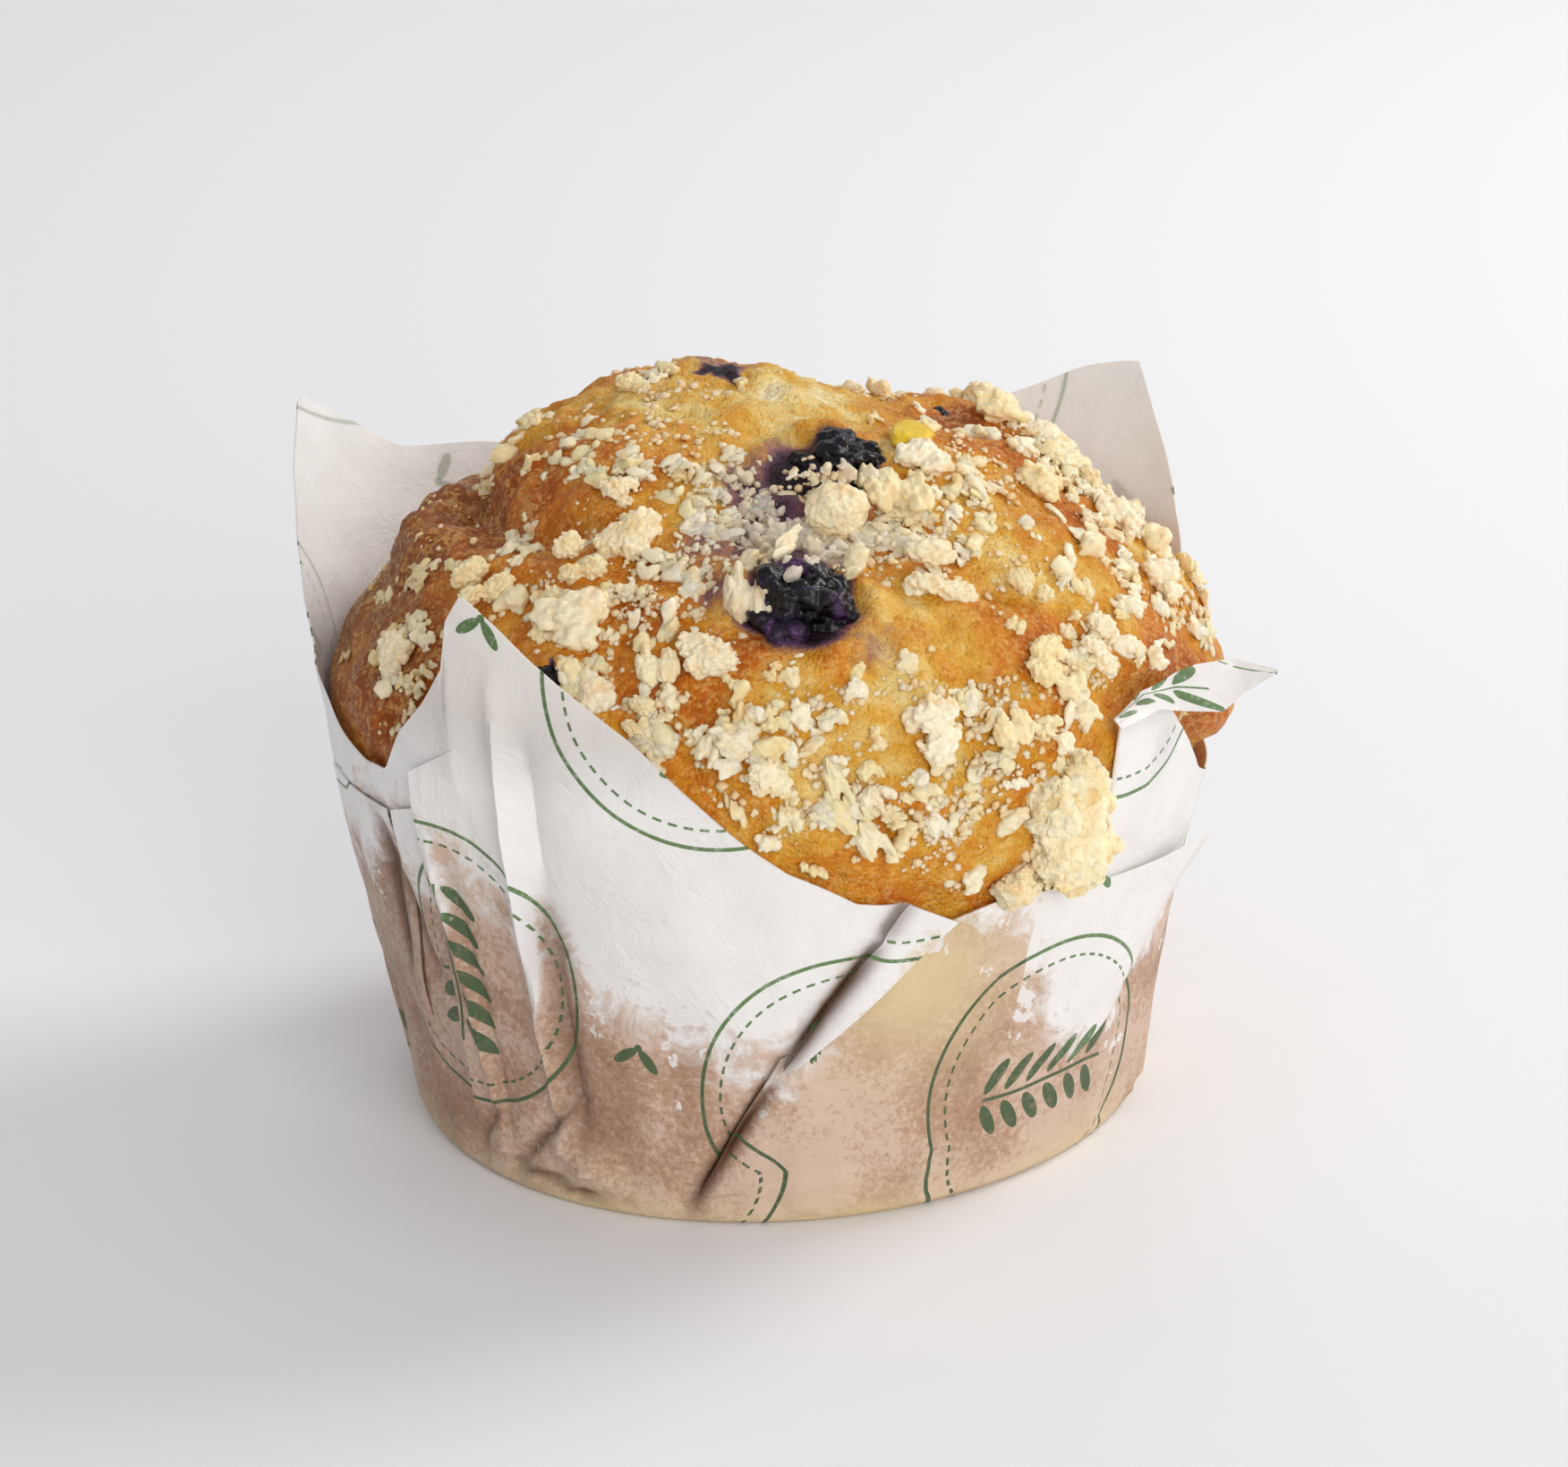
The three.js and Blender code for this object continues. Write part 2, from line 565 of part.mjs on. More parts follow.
function driftCrumbs(draw) {
  const solids = [];
  for (const drift of DRIFTS) {
    const count = Math.round(drift.share * CRUMB_COUNT);
    for (let i = 0; i < count; i += 1) {
      const fall = drift.fall + (bellDraw(draw) * drift.spread[1]) / FALL_PITCH;
      const aside = (bellDraw(draw) * drift.spread[0]) / (Math.max(fall, 12) * FALL_PITCH);
      const size = mix(drift.size[0], drift.size[1], draw() ** 2);
      const mesher = crumbMesher(size, draw);
      const turn = draw() * Math.PI;
      const place = crust(drift.azimuth + aside / RAD, Math.min(CRUMB.lowest, Math.max(4, fall)));
      if (!crumbFits(place.point, size) || onBerry(place.point)) continue;
      setOnCrust(mesher, place, turn, -CRUMB.raised * size);
      solids.push(mesher.solid());
    }
  }
  return solids;
}

// One body: loose scraps and sealed hollows go with all but the largest piece.
function largestPiece(solid) {
  const pieces = solid.decompose();
  return pieces.reduce((best, piece) => (piece.volume() > best.volume() ? piece : best));
}

function muffin() {
  const draw = seededDraws(CRUMB_SEED);
  let solid = wasm.Manifold.union([cakeBody(), ...namedLumps(draw), ...driftCrumbs(draw)]);
  for (const berry of BERRIES) solid = solid.subtract(berrySolid(berry, FIT));
  return largestPiece(solid);
}

// ---------------------------------------------------------------- assembly

function pieceOf(solid, name, look) {
  const { vertProperties, triVerts } = solid.getMesh();
  const geometry = new THREE.BufferGeometry();
  geometry.setAttribute('position', new THREE.BufferAttribute(new Float32Array(vertProperties), 3));
  geometry.setIndex(new THREE.BufferAttribute(new Uint32Array(triVerts), 1));
  geometry.computeVertexNormals();
  const mesh = new THREE.Mesh(geometry, new THREE.MeshStandardMaterial(MATERIALS[look]));
  mesh.name = name;
  return mesh;
}

const group = new THREE.Group();
group.add(pieceOf(muffin(), 'muffin', 'muffin'));
for (const berry of BERRIES) group.add(pieceOf(berrySolid(berry, 0), berry.name, 'berry'));
group.add(pieceOf(largestPiece(paperCase()), 'paper_case', 'paper_case'));

export default group;
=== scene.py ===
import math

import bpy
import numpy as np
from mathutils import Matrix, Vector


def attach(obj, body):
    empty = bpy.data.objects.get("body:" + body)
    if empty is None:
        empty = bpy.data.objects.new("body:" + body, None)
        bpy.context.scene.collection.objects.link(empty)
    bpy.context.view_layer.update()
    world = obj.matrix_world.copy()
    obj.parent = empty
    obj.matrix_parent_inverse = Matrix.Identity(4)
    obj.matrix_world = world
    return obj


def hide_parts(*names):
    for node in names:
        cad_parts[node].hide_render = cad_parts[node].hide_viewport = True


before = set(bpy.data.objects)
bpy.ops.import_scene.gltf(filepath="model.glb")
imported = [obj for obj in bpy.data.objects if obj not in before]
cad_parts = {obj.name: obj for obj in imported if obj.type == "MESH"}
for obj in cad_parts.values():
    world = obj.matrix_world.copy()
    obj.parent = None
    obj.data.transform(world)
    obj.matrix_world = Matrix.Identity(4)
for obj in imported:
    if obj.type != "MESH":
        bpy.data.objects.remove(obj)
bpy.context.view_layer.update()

# A jumbo blueberry streusel muffin, baked in a folded tulip case of greaseproof paper.
#
# Lengths below are millimetres until a mesh is filled, and metres from there on. Azimuths
# are degrees round +Z: 0 is the front (-Y), 90 the right side (+X). A place on the crust
# is an azimuth and a fall: 0 at the top of the dome, 90 at its rim, more down the side.

MM = 0.001

# ------------------------------------------------------------------ the muffin's sizes

# FIT is the gap that touching solids keep. The case: radius at its base, how much it widens
# for each mm up to its shoulder and above it, the solid model's paper, the bend of its foot,
# and how far the cake's side stays behind the paper.
FIT = 0.3
CASE = dict(base=36.6, taper=0.165, shoulder=40.0, flare=0.1, paper=0.5, foot=1.2, sag=0.15)

# The free edge of the case: azimuth, height.
EDGE = np.array([
    (-180, 47), (-163, 51), (-147, 54.5), (-130, 57.5), (-119, 64.5), (-111, 59.5),
    (-100, 52), (-90, 46.5), (-75, 44), (-62, 42), (-56.4, 42.2), (-51.6, 47.5),
    (-46.4, 51.4), (-41.4, 55.8), (-41.2, 60), (-38.8, 62.6), (-27, 57.1), (-16.7, 50.9),
    (-4.5, 42.2), (1.8, 37.9), (10.3, 34.2), (17.3, 33.6), (22.8, 30.8), (33, 32.2),
    (40, 31.6), (47.2, 31.4), (47.6, 46.4), (55, 46.8), (61.3, 44.6), (72, 35.6),
    (80, 33.4), (92, 33.6), (101, 40), (110, 50), (115, 54), (121, 57.5), (130, 63),
    (138, 61.5), (150, 57), (165, 51), (180, 47)])

# Petals that lean off the wall: azimuth, half width, lean, height it starts, reach.
LEANS = [(-119, 62, 8.2, 34, 30), (130, 46, 6.2, 38, 25), (-38, 34, -1.6, 40, 22),
         (82, 20, 1.1, 16, 16)]
FOOT_BULGE = dict(azimuth=-22, half=75, out=1.3, height=14)

# The cake: height of its rim, rise of its dome, how blunt its shoulder and how full its top
# is, how far it hangs over, and how soon it does so past the paper's edge.
CAKE = dict(rim=44.0, rise=25.4, blunt=2.2, full=0.62, overhang=1.1, reach=4.0)
FALL_PITCH = 0.61            # mm along the crust for each degree of fall
PANEL = 6.0                  # degrees over which the cake stays behind an upright edge

# Swellings of the crust: azimuth, fall, height, width across, width along.
SWELLINGS = [
    (-122, 22, 2.0, 10, 9), (-152, 12, 2.3, 7, 7), (160, 24, -1.6, 11, 11),
    (8, 27, -3.4, 9, 10), (-30, 17, 1.0, 7, 5), (-92, 60, -2.4, 24, 12),
    (-92, 50, 2.4, 12, 6), (14, 62, 0.8, 20, 9), (118, 36, 2.0, 6, 6),
    (94, 56, -1.1, 18, 12), (84, 97, 2.6, 10, 4), (60, 83, -1.9, 9, 4),
    (38, 95, 1.0, 6, 5)]

# Cracks: from place, to place, depth, width.
CRACKS = [((-150, 42), (-92, 41), 3.2, 3.0), ((-92, 42), (-46, 35), 2.6, 2.6),
          ((92, 14), (104, 34), 1.6, 2.0)]

# Berries: node, azimuth, fall, size across, along and up, share sunk.
BERRIES = [
    ("berry_front", 6, 47, (12.5, 11.5, 10.5), 0.56),
    ("berry_middle", 27, 17, (12.5, 11.0, 10.0), 0.55),
    ("berry_back", -153, 8, (9.0, 6.5, 5.0), 0.86),
    ("berry_right", 114, 27, (8.6, 5.5, 5.0), 0.66),
    ("berry_left", -31, 63, (4.8, 4.2, 4.2), 0.62)]

# Streusel lumps: azimuth, fall, size across, along, up.
LUMPS = [
    (19, 28, 6.6, 6.6, 5.4), (-31, 33, 7.2, 6.2, 5.0), (-36, 40, 6.4, 5.4, 4.6),
    (-31, 52, 7.0, 8.2, 4.6), (-52, 49, 6.6, 7.0, 4.4), (-62, 68, 5.2, 5.6, 3.8),
    (-8, 56, 6.6, 5.4, 4.8), (21, 72, 6.2, 6.4, 4.2), (37, 28, 7.6, 7.0, 5.2),
    (52, 25, 6.0, 5.6, 4.6), (32, 45, 7.4, 8.0, 4.8), (51, 66, 5.8, 5.6, 4.2),
    (60, 74, 6.6, 5.0, 4.4), (78, 38, 6.4, 5.6, 4.4), (-24, 64, 5.2, 5.0, 3.6),
    (-4, 71, 4.6, 5.0, 3.4), (0, 78, 4.6, 4.4, 3.2), (53, 78, 5.8, 4.6, 3.8),
    (-51, 75, 4.6, 5.6, 3.4), (39, 65, 5.0, 5.4, 3.8), (-15, 58, 4.6, 4.6, 3.4),
    (107, 42, 6.0, 5.6, 3.6), (99, 50, 6.0, 6.0, 3.4), (86, 53, 6.0, 6.0, 3.8),
    (78, 65, 6.0, 5.6, 4.4), (77, 77, 5.4, 4.8, 4.0), (111, 33, 6.6, 6.0, 5.0),
    (-40, 27, 4.2, 4.2, 3.2), (-112, 16, 3.8, 3.8, 2.8), (44, 52, 4.6, 4.4, 3.2),
    (-16, 68, 4.6, 4.6, 3.2), (31, 75, 4.6, 4.6, 3.4), (126, 38, 6.0, 5.6, 4.4),
    (160, 40, 5.6, 5.2, 3.6), (-170, 52, 5.4, 5.0, 4.0)]

# Drifts of crumbs: azimuth, fall, scatter across and along, sizes, share of all crumbs.
DRIFTS = [
    (4, 68, 20, 9, 1.8, 4.0, 0.17), (24, 86, 15, 9, 1.8, 4.2, 0.12),
    (-30, 50, 12, 10, 1.8, 4.2, 0.11), (14, 32, 9, 6, 1.6, 3.6, 0.08),
    (52, 68, 14, 9, 1.8, 4.2, 0.14), (94, 50, 22, 11, 2.2, 5.0, 0.20),
    (-60, 66, 11, 9, 1.6, 3.8, 0.06), (176, 48, 34, 12, 2.0, 4.6, 0.12)]
CRUMB_COUNT = 140
CRUMB_SEED = 4127

# The solid model's lumps and crumbs: how far they stand out, as a share of their size, over
# which size they have a fine skin, and how many points a fine and a plain skin has. wide and
# high: the share of the solid that the streusel drawn here fills.
LUMP = dict(raised=0.18, fine_over=6.1, fine_points=42, points=12, wide=0.92, high=0.8)
CRUMB = dict(raised=0.12, fine_over=3.4, fine_points=12, points=6, wide=0.9, high=0.7,
             half=0.6, over_berry=0.6, highest=4, lowest=104)

# The folded-over tip of the right petal: its height, and the zone that it keeps clear of
# crumbs, from and to an azimuth, so far over and under it, and beyond a radius.
PEAK = dict(height=45.9, clear=(43, 80, 3, 40))

# ------------------------------------------------------------------ small helpers


def turn_between(a, b):
    return (np.asarray(a, float) - b + 180.0) % 360.0 - 180.0


def ease_in(x):
    t = np.clip(x, 0.0, 1.0)
    return t * t * (3.0 - 2.0 * t)


def mix(a, b, t):
    return a + (b - a) * t


def read_table(table, x):
    keys, values = np.array(table, float).T
    return np.interp(x, keys, values)


def bump_at(x, centre, width):
    return np.exp(-(((x - centre) / width) ** 2))


def polar(azimuth, radius, z):
    a = np.radians(azimuth)
    return np.stack(np.broadcast_arrays(radius * np.sin(a), -radius * np.cos(a), z), -1)


def crumb_draws(seed):
    """The repeatable draws from 0 to 1 that laid the crumbs of the solid model."""
    state = seed
    while True:
        state = (state + 0x6D2B79F5) & 0xFFFFFFFF
        t = ((state ^ (state >> 15)) * (state | 1)) & 0xFFFFFFFF
        t = ((t + (((t ^ (t >> 7)) * (t | 61)) & 0xFFFFFFFF)) & 0xFFFFFFFF) ^ t
        yield (t ^ (t >> 14)) / 4294967296.0


# ------------------------------------------------------------------ form of case and cake


def edge_height(azimuth):
    return np.interp(turn_between(azimuth, 0.0), EDGE[:, 0], EDGE[:, 1])


def round_wall(z):
    return (CASE["base"] + CASE["taper"] * np.minimum(z, CASE["shoulder"])
            + CASE["flare"] * np.maximum(0.0, z - CASE["shoulder"]))


def case_radius(azimuth, z):
    radius = round_wall(z)
    for centre, half, lean, start, reach in LEANS:
        window = 1.0 - ease_in(np.abs(turn_between(azimuth, centre)) / half)
        radius = radius + lean * window * (np.maximum(0.0, z - start) / reach) ** 2
    away = np.abs(turn_between(azimuth, FOOT_BULGE["azimuth"])) / FOOT_BULGE["half"]
    low = 1.0 - ease_in(z / FOOT_BULGE["height"])
    return radius + FOOT_BULGE["out"] * (1.0 - ease_in(away)) * low


def cake_wall_radius(z):
    return round_wall(z) - CASE["paper"] - CASE["sag"] - FIT


RIM_RADIUS = cake_wall_radius(CAKE["rim"])


def unevenness(p):
    x, y, z = p[..., 0], p[..., 1], p[..., 2]
    broad = np.sin(0.23 * x + 1.3) * np.sin(0.21 * y + 0.4) * np.cos(0.19 * z)
    fine = np.sin(0.61 * x + 0.27 * y) * np.sin(0.55 * y - 0.31 * z + 2.1)
    return 0.7 * broad + 0.35 * fine


def cracks_at(azimuth, fall):
    depth = 0.0
    for (a0, f0), (a1, f1), deep, width in CRACKS:
        middle = math.radians(0.5 * (f0 + f1) * FALL_PITCH)
        run_x, run_y = turn_between(a1, a0) * middle, (f1 - f0) * FALL_PITCH
        x, y = turn_between(azimuth, a0) * middle, (fall - f0) * FALL_PITCH
        along = np.clip((x * run_x + y * run_y) / (run_x**2 + run_y**2), 0.0, 1.0)
        away = np.hypot(x - along * run_x, y - along * run_y)
        depth = depth + deep * np.exp(-((away / width) ** 2))
    return depth


def paper_over(azimuth):
    aside = np.maximum(edge_height(azimuth - PANEL), edge_height(azimuth + PANEL))
    return np.maximum(edge_height(azimuth), aside - 3.0)


def crust(azimuth, fall):
    """Points of the cake's outside and the way they face."""
    azimuth, fall = np.broadcast_arrays(np.asarray(azimuth, float), np.asarray(fall, float))
    t = np.radians(np.clip(fall, 0.0, 90.0))
    dome = CAKE["rim"] + CAKE["rise"] * np.maximum(0.0, np.cos(t)) ** (2 * CAKE["full"])
    z = np.where(fall <= 90, dome, CAKE["rim"] - (fall - 90) * FALL_PITCH)
    over = RIM_RADIUS * np.sin(t) ** (2 / CAKE["blunt"])
    point = polar(azimuth, np.where(fall <= 90, over, cake_wall_radius(z)), z)
    out = polar(azimuth, np.sin(t) ** 1.6, np.cos(t))
    out = out / np.linalg.norm(out, axis=-1, keepdims=True)
    free = ease_in((z - paper_over(azimuth) - 0.6) / CAKE["reach"])
    swell = unevenness(point) * ease_in((90 - fall) / 14)
    for s_azimuth, s_fall, height, across, along in SWELLINGS:
        reach = np.minimum(np.minimum(s_fall, fall) * FALL_PITCH, RIM_RADIUS)
        x = np.radians(turn_between(azimuth, s_azimuth)) * reach / across
        y = (fall - s_fall) * FALL_PITCH / along
        swell = swell + height * np.exp(-(x**2) - y**2)
    swell = swell - cracks_at(azimuth, fall)
    swell = swell * np.maximum(free, ease_in((92 - fall) / 12))
    swell = swell + CAKE["overhang"] * free * ease_in((fall - 40) / 45)
    return point + out * swell[..., None], out


BERRY_CENTRES = np.array([crust(azimuth, fall)[0] for _, azimuth, fall, _, _ in BERRIES])
BERRY_WIDTHS = np.array([size[0] for *_, size, _ in BERRIES])

# The juice round each berry: how wide it is as a share of the berry, where it starts and how
# far it fades, both as shares of that.
STAIN_WIDTHS = BERRY_WIDTHS * (1.0, 1.0, 0.62, 0.2, 1.0)
STAIN = dict(start=0.38, fade=0.13)


def berry_nearness(points):
    """1 on a berry, falling to 0 within the reach of its juice."""
    apart = points[..., None, :] - BERRY_CENTRES
    around = np.arctan2(apart[..., 1], apart[..., 0])
    away = np.linalg.norm(apart, axis=-1) - STAIN["start"] * STAIN_WIDTHS
    away = away + 0.6 * np.sin(3 * around + 1.7) + 0.4 * np.sin(7 * around)
    away = np.maximum(0.0, away + 0.6) / (STAIN["fade"] * STAIN_WIDTHS)
    return np.exp(-(away ** 2)).max(axis=-1)


def crumb_fits(point, size):
    """Room for a crumb over the free edge, or well inside the standing paper."""
    azimuth = np.degrees(np.arctan2(point[..., 0], -point[..., 1]))
    radius = np.hypot(point[..., 0], point[..., 1])
    z = point[..., 2]
    half = CRUMB["half"] * size
    turn = np.degrees(half / radius)
    edge = np.maximum(edge_height(azimuth - turn), edge_height(azimuth + turn))
    edge = np.maximum(edge, edge_height(azimuth))
    inside = case_radius(azimuth, z) - CASE["paper"] - radius > half + FIT
    start, end, apart, reach = PEAK["clear"]
    at_peak = (azimuth > start) & (azimuth < end) & (radius > reach)
    at_peak = at_peak & (np.abs(z - PEAK["height"]) < apart)
    return ~at_peak & ((z - half > edge + FIT) | inside)


# The hollow between the two front berries, where streusel gathered over their edges, and how
# far in from a berry's middle it reaches, as a share of the berry.
HOLLOW = dict(azimuth=14, fall=31, buried=0.25)


def berry_cover(point):
    """Height over the crust of the berry under a spot, or nan where that berry stays bare."""
    height = np.zeros(len(point))
    hollow, _ = crust(HOLLOW["azimuth"], HOLLOW["fall"])
    for centre, (*_, size, sunk) in zip(BERRY_CENTRES, BERRIES):
        apart = point - centre
        away = np.linalg.norm(apart, axis=1) / (0.5 * size[0])
        inward = hollow - centre
        inward = inward / np.linalg.norm(inward)
        buried = (apart @ inward > HOLLOW["buried"] * size[0]) & (away < 1)
        dome = np.sqrt(np.maximum(0.0, 1 - away**2)) * 0.5 - (sunk - 0.5)
        height = np.where(away < 1, np.where(buried, dome * size[2], np.nan), height)
    return height


def on_berry(point, overlap):
    away = np.linalg.norm(point[..., None, :] - BERRY_CENTRES, axis=-1)
    return (away < 0.5 * BERRY_WIDTHS - overlap).any(axis=-1)


# ------------------------------------------------------------------ working on a mesh


def deselect():
    if bpy.context.object and bpy.context.object.mode != "OBJECT":
        bpy.ops.object.mode_set(mode="OBJECT")
    bpy.ops.object.select_all(action="DESELECT")


def take(piece):
    deselect()
    piece.select_set(True)
    bpy.context.view_layer.objects.active = piece


def name_new(name):
    piece = bpy.context.object
    piece.name = name
    piece.data.name = name
    return piece


def points_of(piece):
    flat = np.empty(len(piece.data.vertices) * 3, np.float32)
    piece.data.vertices.foreach_get("co", flat)
    return flat.reshape(-1, 3).astype(float)


def move_points(piece, points):
    piece.data.vertices.foreach_set("co", np.asarray(points, np.float32).ravel())
    piece.data.update()


def finish_with(piece, kind, **settings):
    """Adds a modifier and applies it."""
    take(piece)
    modifier = piece.modifiers.new(kind.lower(), kind)
    for key, value in settings.items():
        setattr(modifier, key, value)
    bpy.ops.object.modifier_apply(modifier=modifier.name)


def relief_texture(kind, size, **settings):
    texture = bpy.data.textures.new(f"{kind.lower()}_{size:g}", kind)
    texture.noise_scale = size * MM
    for key, value in settings.items():
        setattr(texture, key, value)
    return texture


def roughen(piece, texture, height, group=""):
    """Pushes the skin in and out by a texture in real size."""
    finish_with(piece, "DISPLACE", texture=texture, texture_coords="LOCAL",
                strength=height * MM, mid_level=0.5, vertex_group=group)


def weigh(piece, name, weights):
    group = piece.vertex_groups.new(name=name)
    for level in np.unique(np.round(weights, 1)):
        if level > 0:
            chosen = np.flatnonzero(np.round(weights, 1) == level)
            group.add([int(i) for i in chosen], float(level), "REPLACE")
    return name


def paint(piece, name, *channels):
    """Stores up to three masks as one colour attribute on the points."""
    count = len(piece.data.vertices)
    values = np.ones((count, 4), np.float32)
    values[:, :3] = 0.0
    for k, channel in enumerate(channels):
        values[:, k] = np.clip(channel, 0.0, 1.0)
    attribute = piece.data.color_attributes.new(name, "FLOAT_COLOR", "POINT")
    attribute.data.foreach_set("color", values.ravel())


def smooth(piece, angle=180):
    take(piece)
    if angle >= 180:
        bpy.ops.object.shade_smooth()
    else:
        bpy.ops.object.shade_smooth_by_angle(angle=math.radians(angle))


def mesh_of(name, points, triangles):
    """One mesh from many copies: points in metres, triangles as point numbers."""
    mesh = bpy.data.meshes.new(name)
    mesh.vertices.add(len(points))
    mesh.vertices.foreach_set("co", points.astype(np.float32).ravel())
    mesh.loops.add(3 * len(triangles))
    mesh.loops.foreach_set("vertex_index", triangles.astype(np.int32).ravel())
    mesh.polygons.add(len(triangles))
    mesh.polygons.foreach_set("loop_start", np.arange(0, 3 * len(triangles), 3, np.int32))
    mesh.update(calc_edges=True)
    mesh.validate()
    mesh.shade_flat()
    piece = bpy.data.objects.new(name, mesh)
    bpy.context.collection.objects.link(piece)
    return piece


def wear(piece, *materials):
    piece.data.materials.clear()
    for material in materials:
        piece.data.materials.append(material)


# ------------------------------------------------------------------ materials


def linear(text):
    """sRGB hex to linear colour."""
    parts = [int(text[i:i + 2], 16) / 255 for i in (1, 3, 5)]
    low = [c / 12.92 for c in parts]
    high = [((c + 0.055) / 1.055) ** 2.4 for c in parts]
    return tuple(h if c > 0.04045 else s for c, s, h in zip(parts, low, high)) + (1.0,)


def add(tree, kind, settings=None, links=None):
    """Adds a node. settings are its properties, socket values by name or number, or a ramp's
    stops. links feed its sockets from another socket, or from a node's first output."""
    node = tree.nodes.new("ShaderNode" + kind)
    for key, value in (settings or {}).items():
        if key == "stops":
            stops = node.color_ramp.elements
            stops[0].position, stops[-1].position = value[0][0], value[-1][0]
            for place, _ in value[1:-1]:
                stops.new(place)
            for stop, (_, colour) in zip(stops, value):
                stop.color = linear(colour)
        elif isinstance(key, str) and hasattr(node, key):
            setattr(node, key, value)
        else:
            node.inputs[key].default_value = value
    for key, source in (links or {}).items():
        tree.links.new(getattr(source, "outputs", [source])[0], node.inputs[key])
    return node


def every(size):
    """The scale of a pattern whose grain or cell is so many mm."""
    return 1.0 / (size * MM)


def new_material(name):
    material = bpy.data.materials.new(name)
    material.use_nodes = True
    tree = material.node_tree
    tree.nodes.clear()
    return material, tree


def crust_material():
    """Baked cake crust: egg batter browned in the oven, dusted with sugar that half melted.

    It reads as orange-brown where it faced the heat and as yellow crumb where the crust is
    thin, mottled at 3 to 12 mm, frosted with sugar specks of 0.3 to 0.5 mm, with pores of
    about 0.8 mm. The attribute "bake" holds how brown it is, with painted shade that
    darkens the left side, the juice of the berries, and a grey painted shade on the left side.
    """
    material, tree = new_material("baked_cake_crust")
    place = add(tree, "TexCoord").outputs["Object"]
    bake = add(tree, "Attribute", {"attribute_name": "bake"})
    masks = add(tree, "SeparateColor", links={0: bake})
    mottle = add(tree, "TexNoise", {"Scale": every(4.35), "Detail": 6.0, "Roughness": 0.65},
                 {"Vector": place})
    patches = add(tree, "TexNoise", {"Scale": every(12.5), "Detail": 3.0}, {"Vector": place})
    both = add(tree, "Math", {"operation": "ADD"}, {0: mottle, 1: patches})
    swing = add(tree, "Math", {"operation": "MULTIPLY_ADD", 1: 1.25, 2: -1.25}, {0: both})
    brown = add(tree, "Math", {"operation": "ADD", "use_clamp": True},
                {0: masks.outputs["Red"], 1: swing})
    toast_and_shade = add(tree, "ValToRGB",
                {"stops": [(0.0, "#FCEFC8"), (0.18, "#F8DB8C"), (0.38, "#E9AE3C"),
                           (0.58, "#DD8A1E"), (0.78, "#C96A14"), (1.0, "#A24C0C")]},
                {"Fac": brown})
    # Painted shade: the left side turns grey-brown (#8A6542) by the mask's blue channel.
    shaded_crust = add(tree, "Mix", {"data_type": "RGBA", 7: linear("#8A6542")},
                 {0: masks.outputs["Blue"], 6: toast_and_shade})
    sugar = add(tree, "TexVoronoi", {"Scale": every(0.435)}, {"Vector": place})
    each = add(tree, "SeparateColor", links={0: sugar.outputs["Color"]})
    sift = add(tree, "TexNoise", {"Scale": every(4.17), "Detail": 5.0, "Roughness": 0.7},
               {"Vector": place})
    thick = add(tree, "Math", {"operation": "MULTIPLY_ADD", 1: 2.2}, {0: sift, 2: each})
    frost = add(tree, "MapRange", {"From Min": 1.6, "From Max": 2.05, "To Max": 0.46},
                {"Value": thick})
    frosted = add(tree, "Mix", {"data_type": "RGBA", 7: linear("#F4C270")},
                  {0: frost, 6: shaded_crust.outputs[2]})
    blotch = add(tree, "TexNoise", {"Scale": every(2.38), "Detail": 5.0, "Roughness": 0.7},
                 {"Vector": place})
    ragged = add(tree, "Math", {"operation": "MULTIPLY_ADD", 1: 0.9, 2: -0.45}, {0: blotch})
    wet = add(tree, "Math", {"operation": "ADD"}, {0: ragged, 1: masks.outputs["Green"]})
    seep = add(tree, "MapRange", {"From Min": 0.16, "From Max": 0.5}, {"Value": wet})
    juice = add(tree, "ValToRGB",
                {"stops": [(0.2, "#B98455"), (0.48, "#9A6A66"), (0.74, "#5E3E50"),
                           (1.0, "#22121C")]}, {"Fac": wet})
    stained = add(tree, "Mix", {"data_type": "RGBA"},
                  {0: seep, 6: frosted.outputs[2], 7: juice})
    pores = add(tree, "TexNoise", {"Scale": every(0.87), "Detail": 5.0, "Roughness": 0.7},
                {"Vector": place})
    specks = add(tree, "Bump", {"invert": True, "Strength": 0.8, "Distance": 0.3 * MM},
                 {"Height": sugar})
    shallow = add(tree, "Bump", {"Strength": 0.9, "Distance": 0.5 * MM},
                  {"Height": pores, "Normal": specks})
    deep = add(tree, "Bump", {"Strength": 0.7, "Distance": 1 * MM},
               {"Height": mottle, "Normal": shallow})
    gloss = add(tree, "MapRange", {"To Min": 0.6, "To Max": 0.22}, {"Value": each.outputs[1]})
    skin = add(tree, "BsdfPrincipled",
               {"Subsurface Weight": 0.15, "Subsurface Radius": (1.0, 0.5, 0.2),
                "Subsurface Scale": 1.2 * MM, "Specular IOR Level": 0.22},
               {"Base Color": stained.outputs[2], "Roughness": gloss, "Normal": deep})
    add(tree, "OutputMaterial", links={0: skin})
    return material


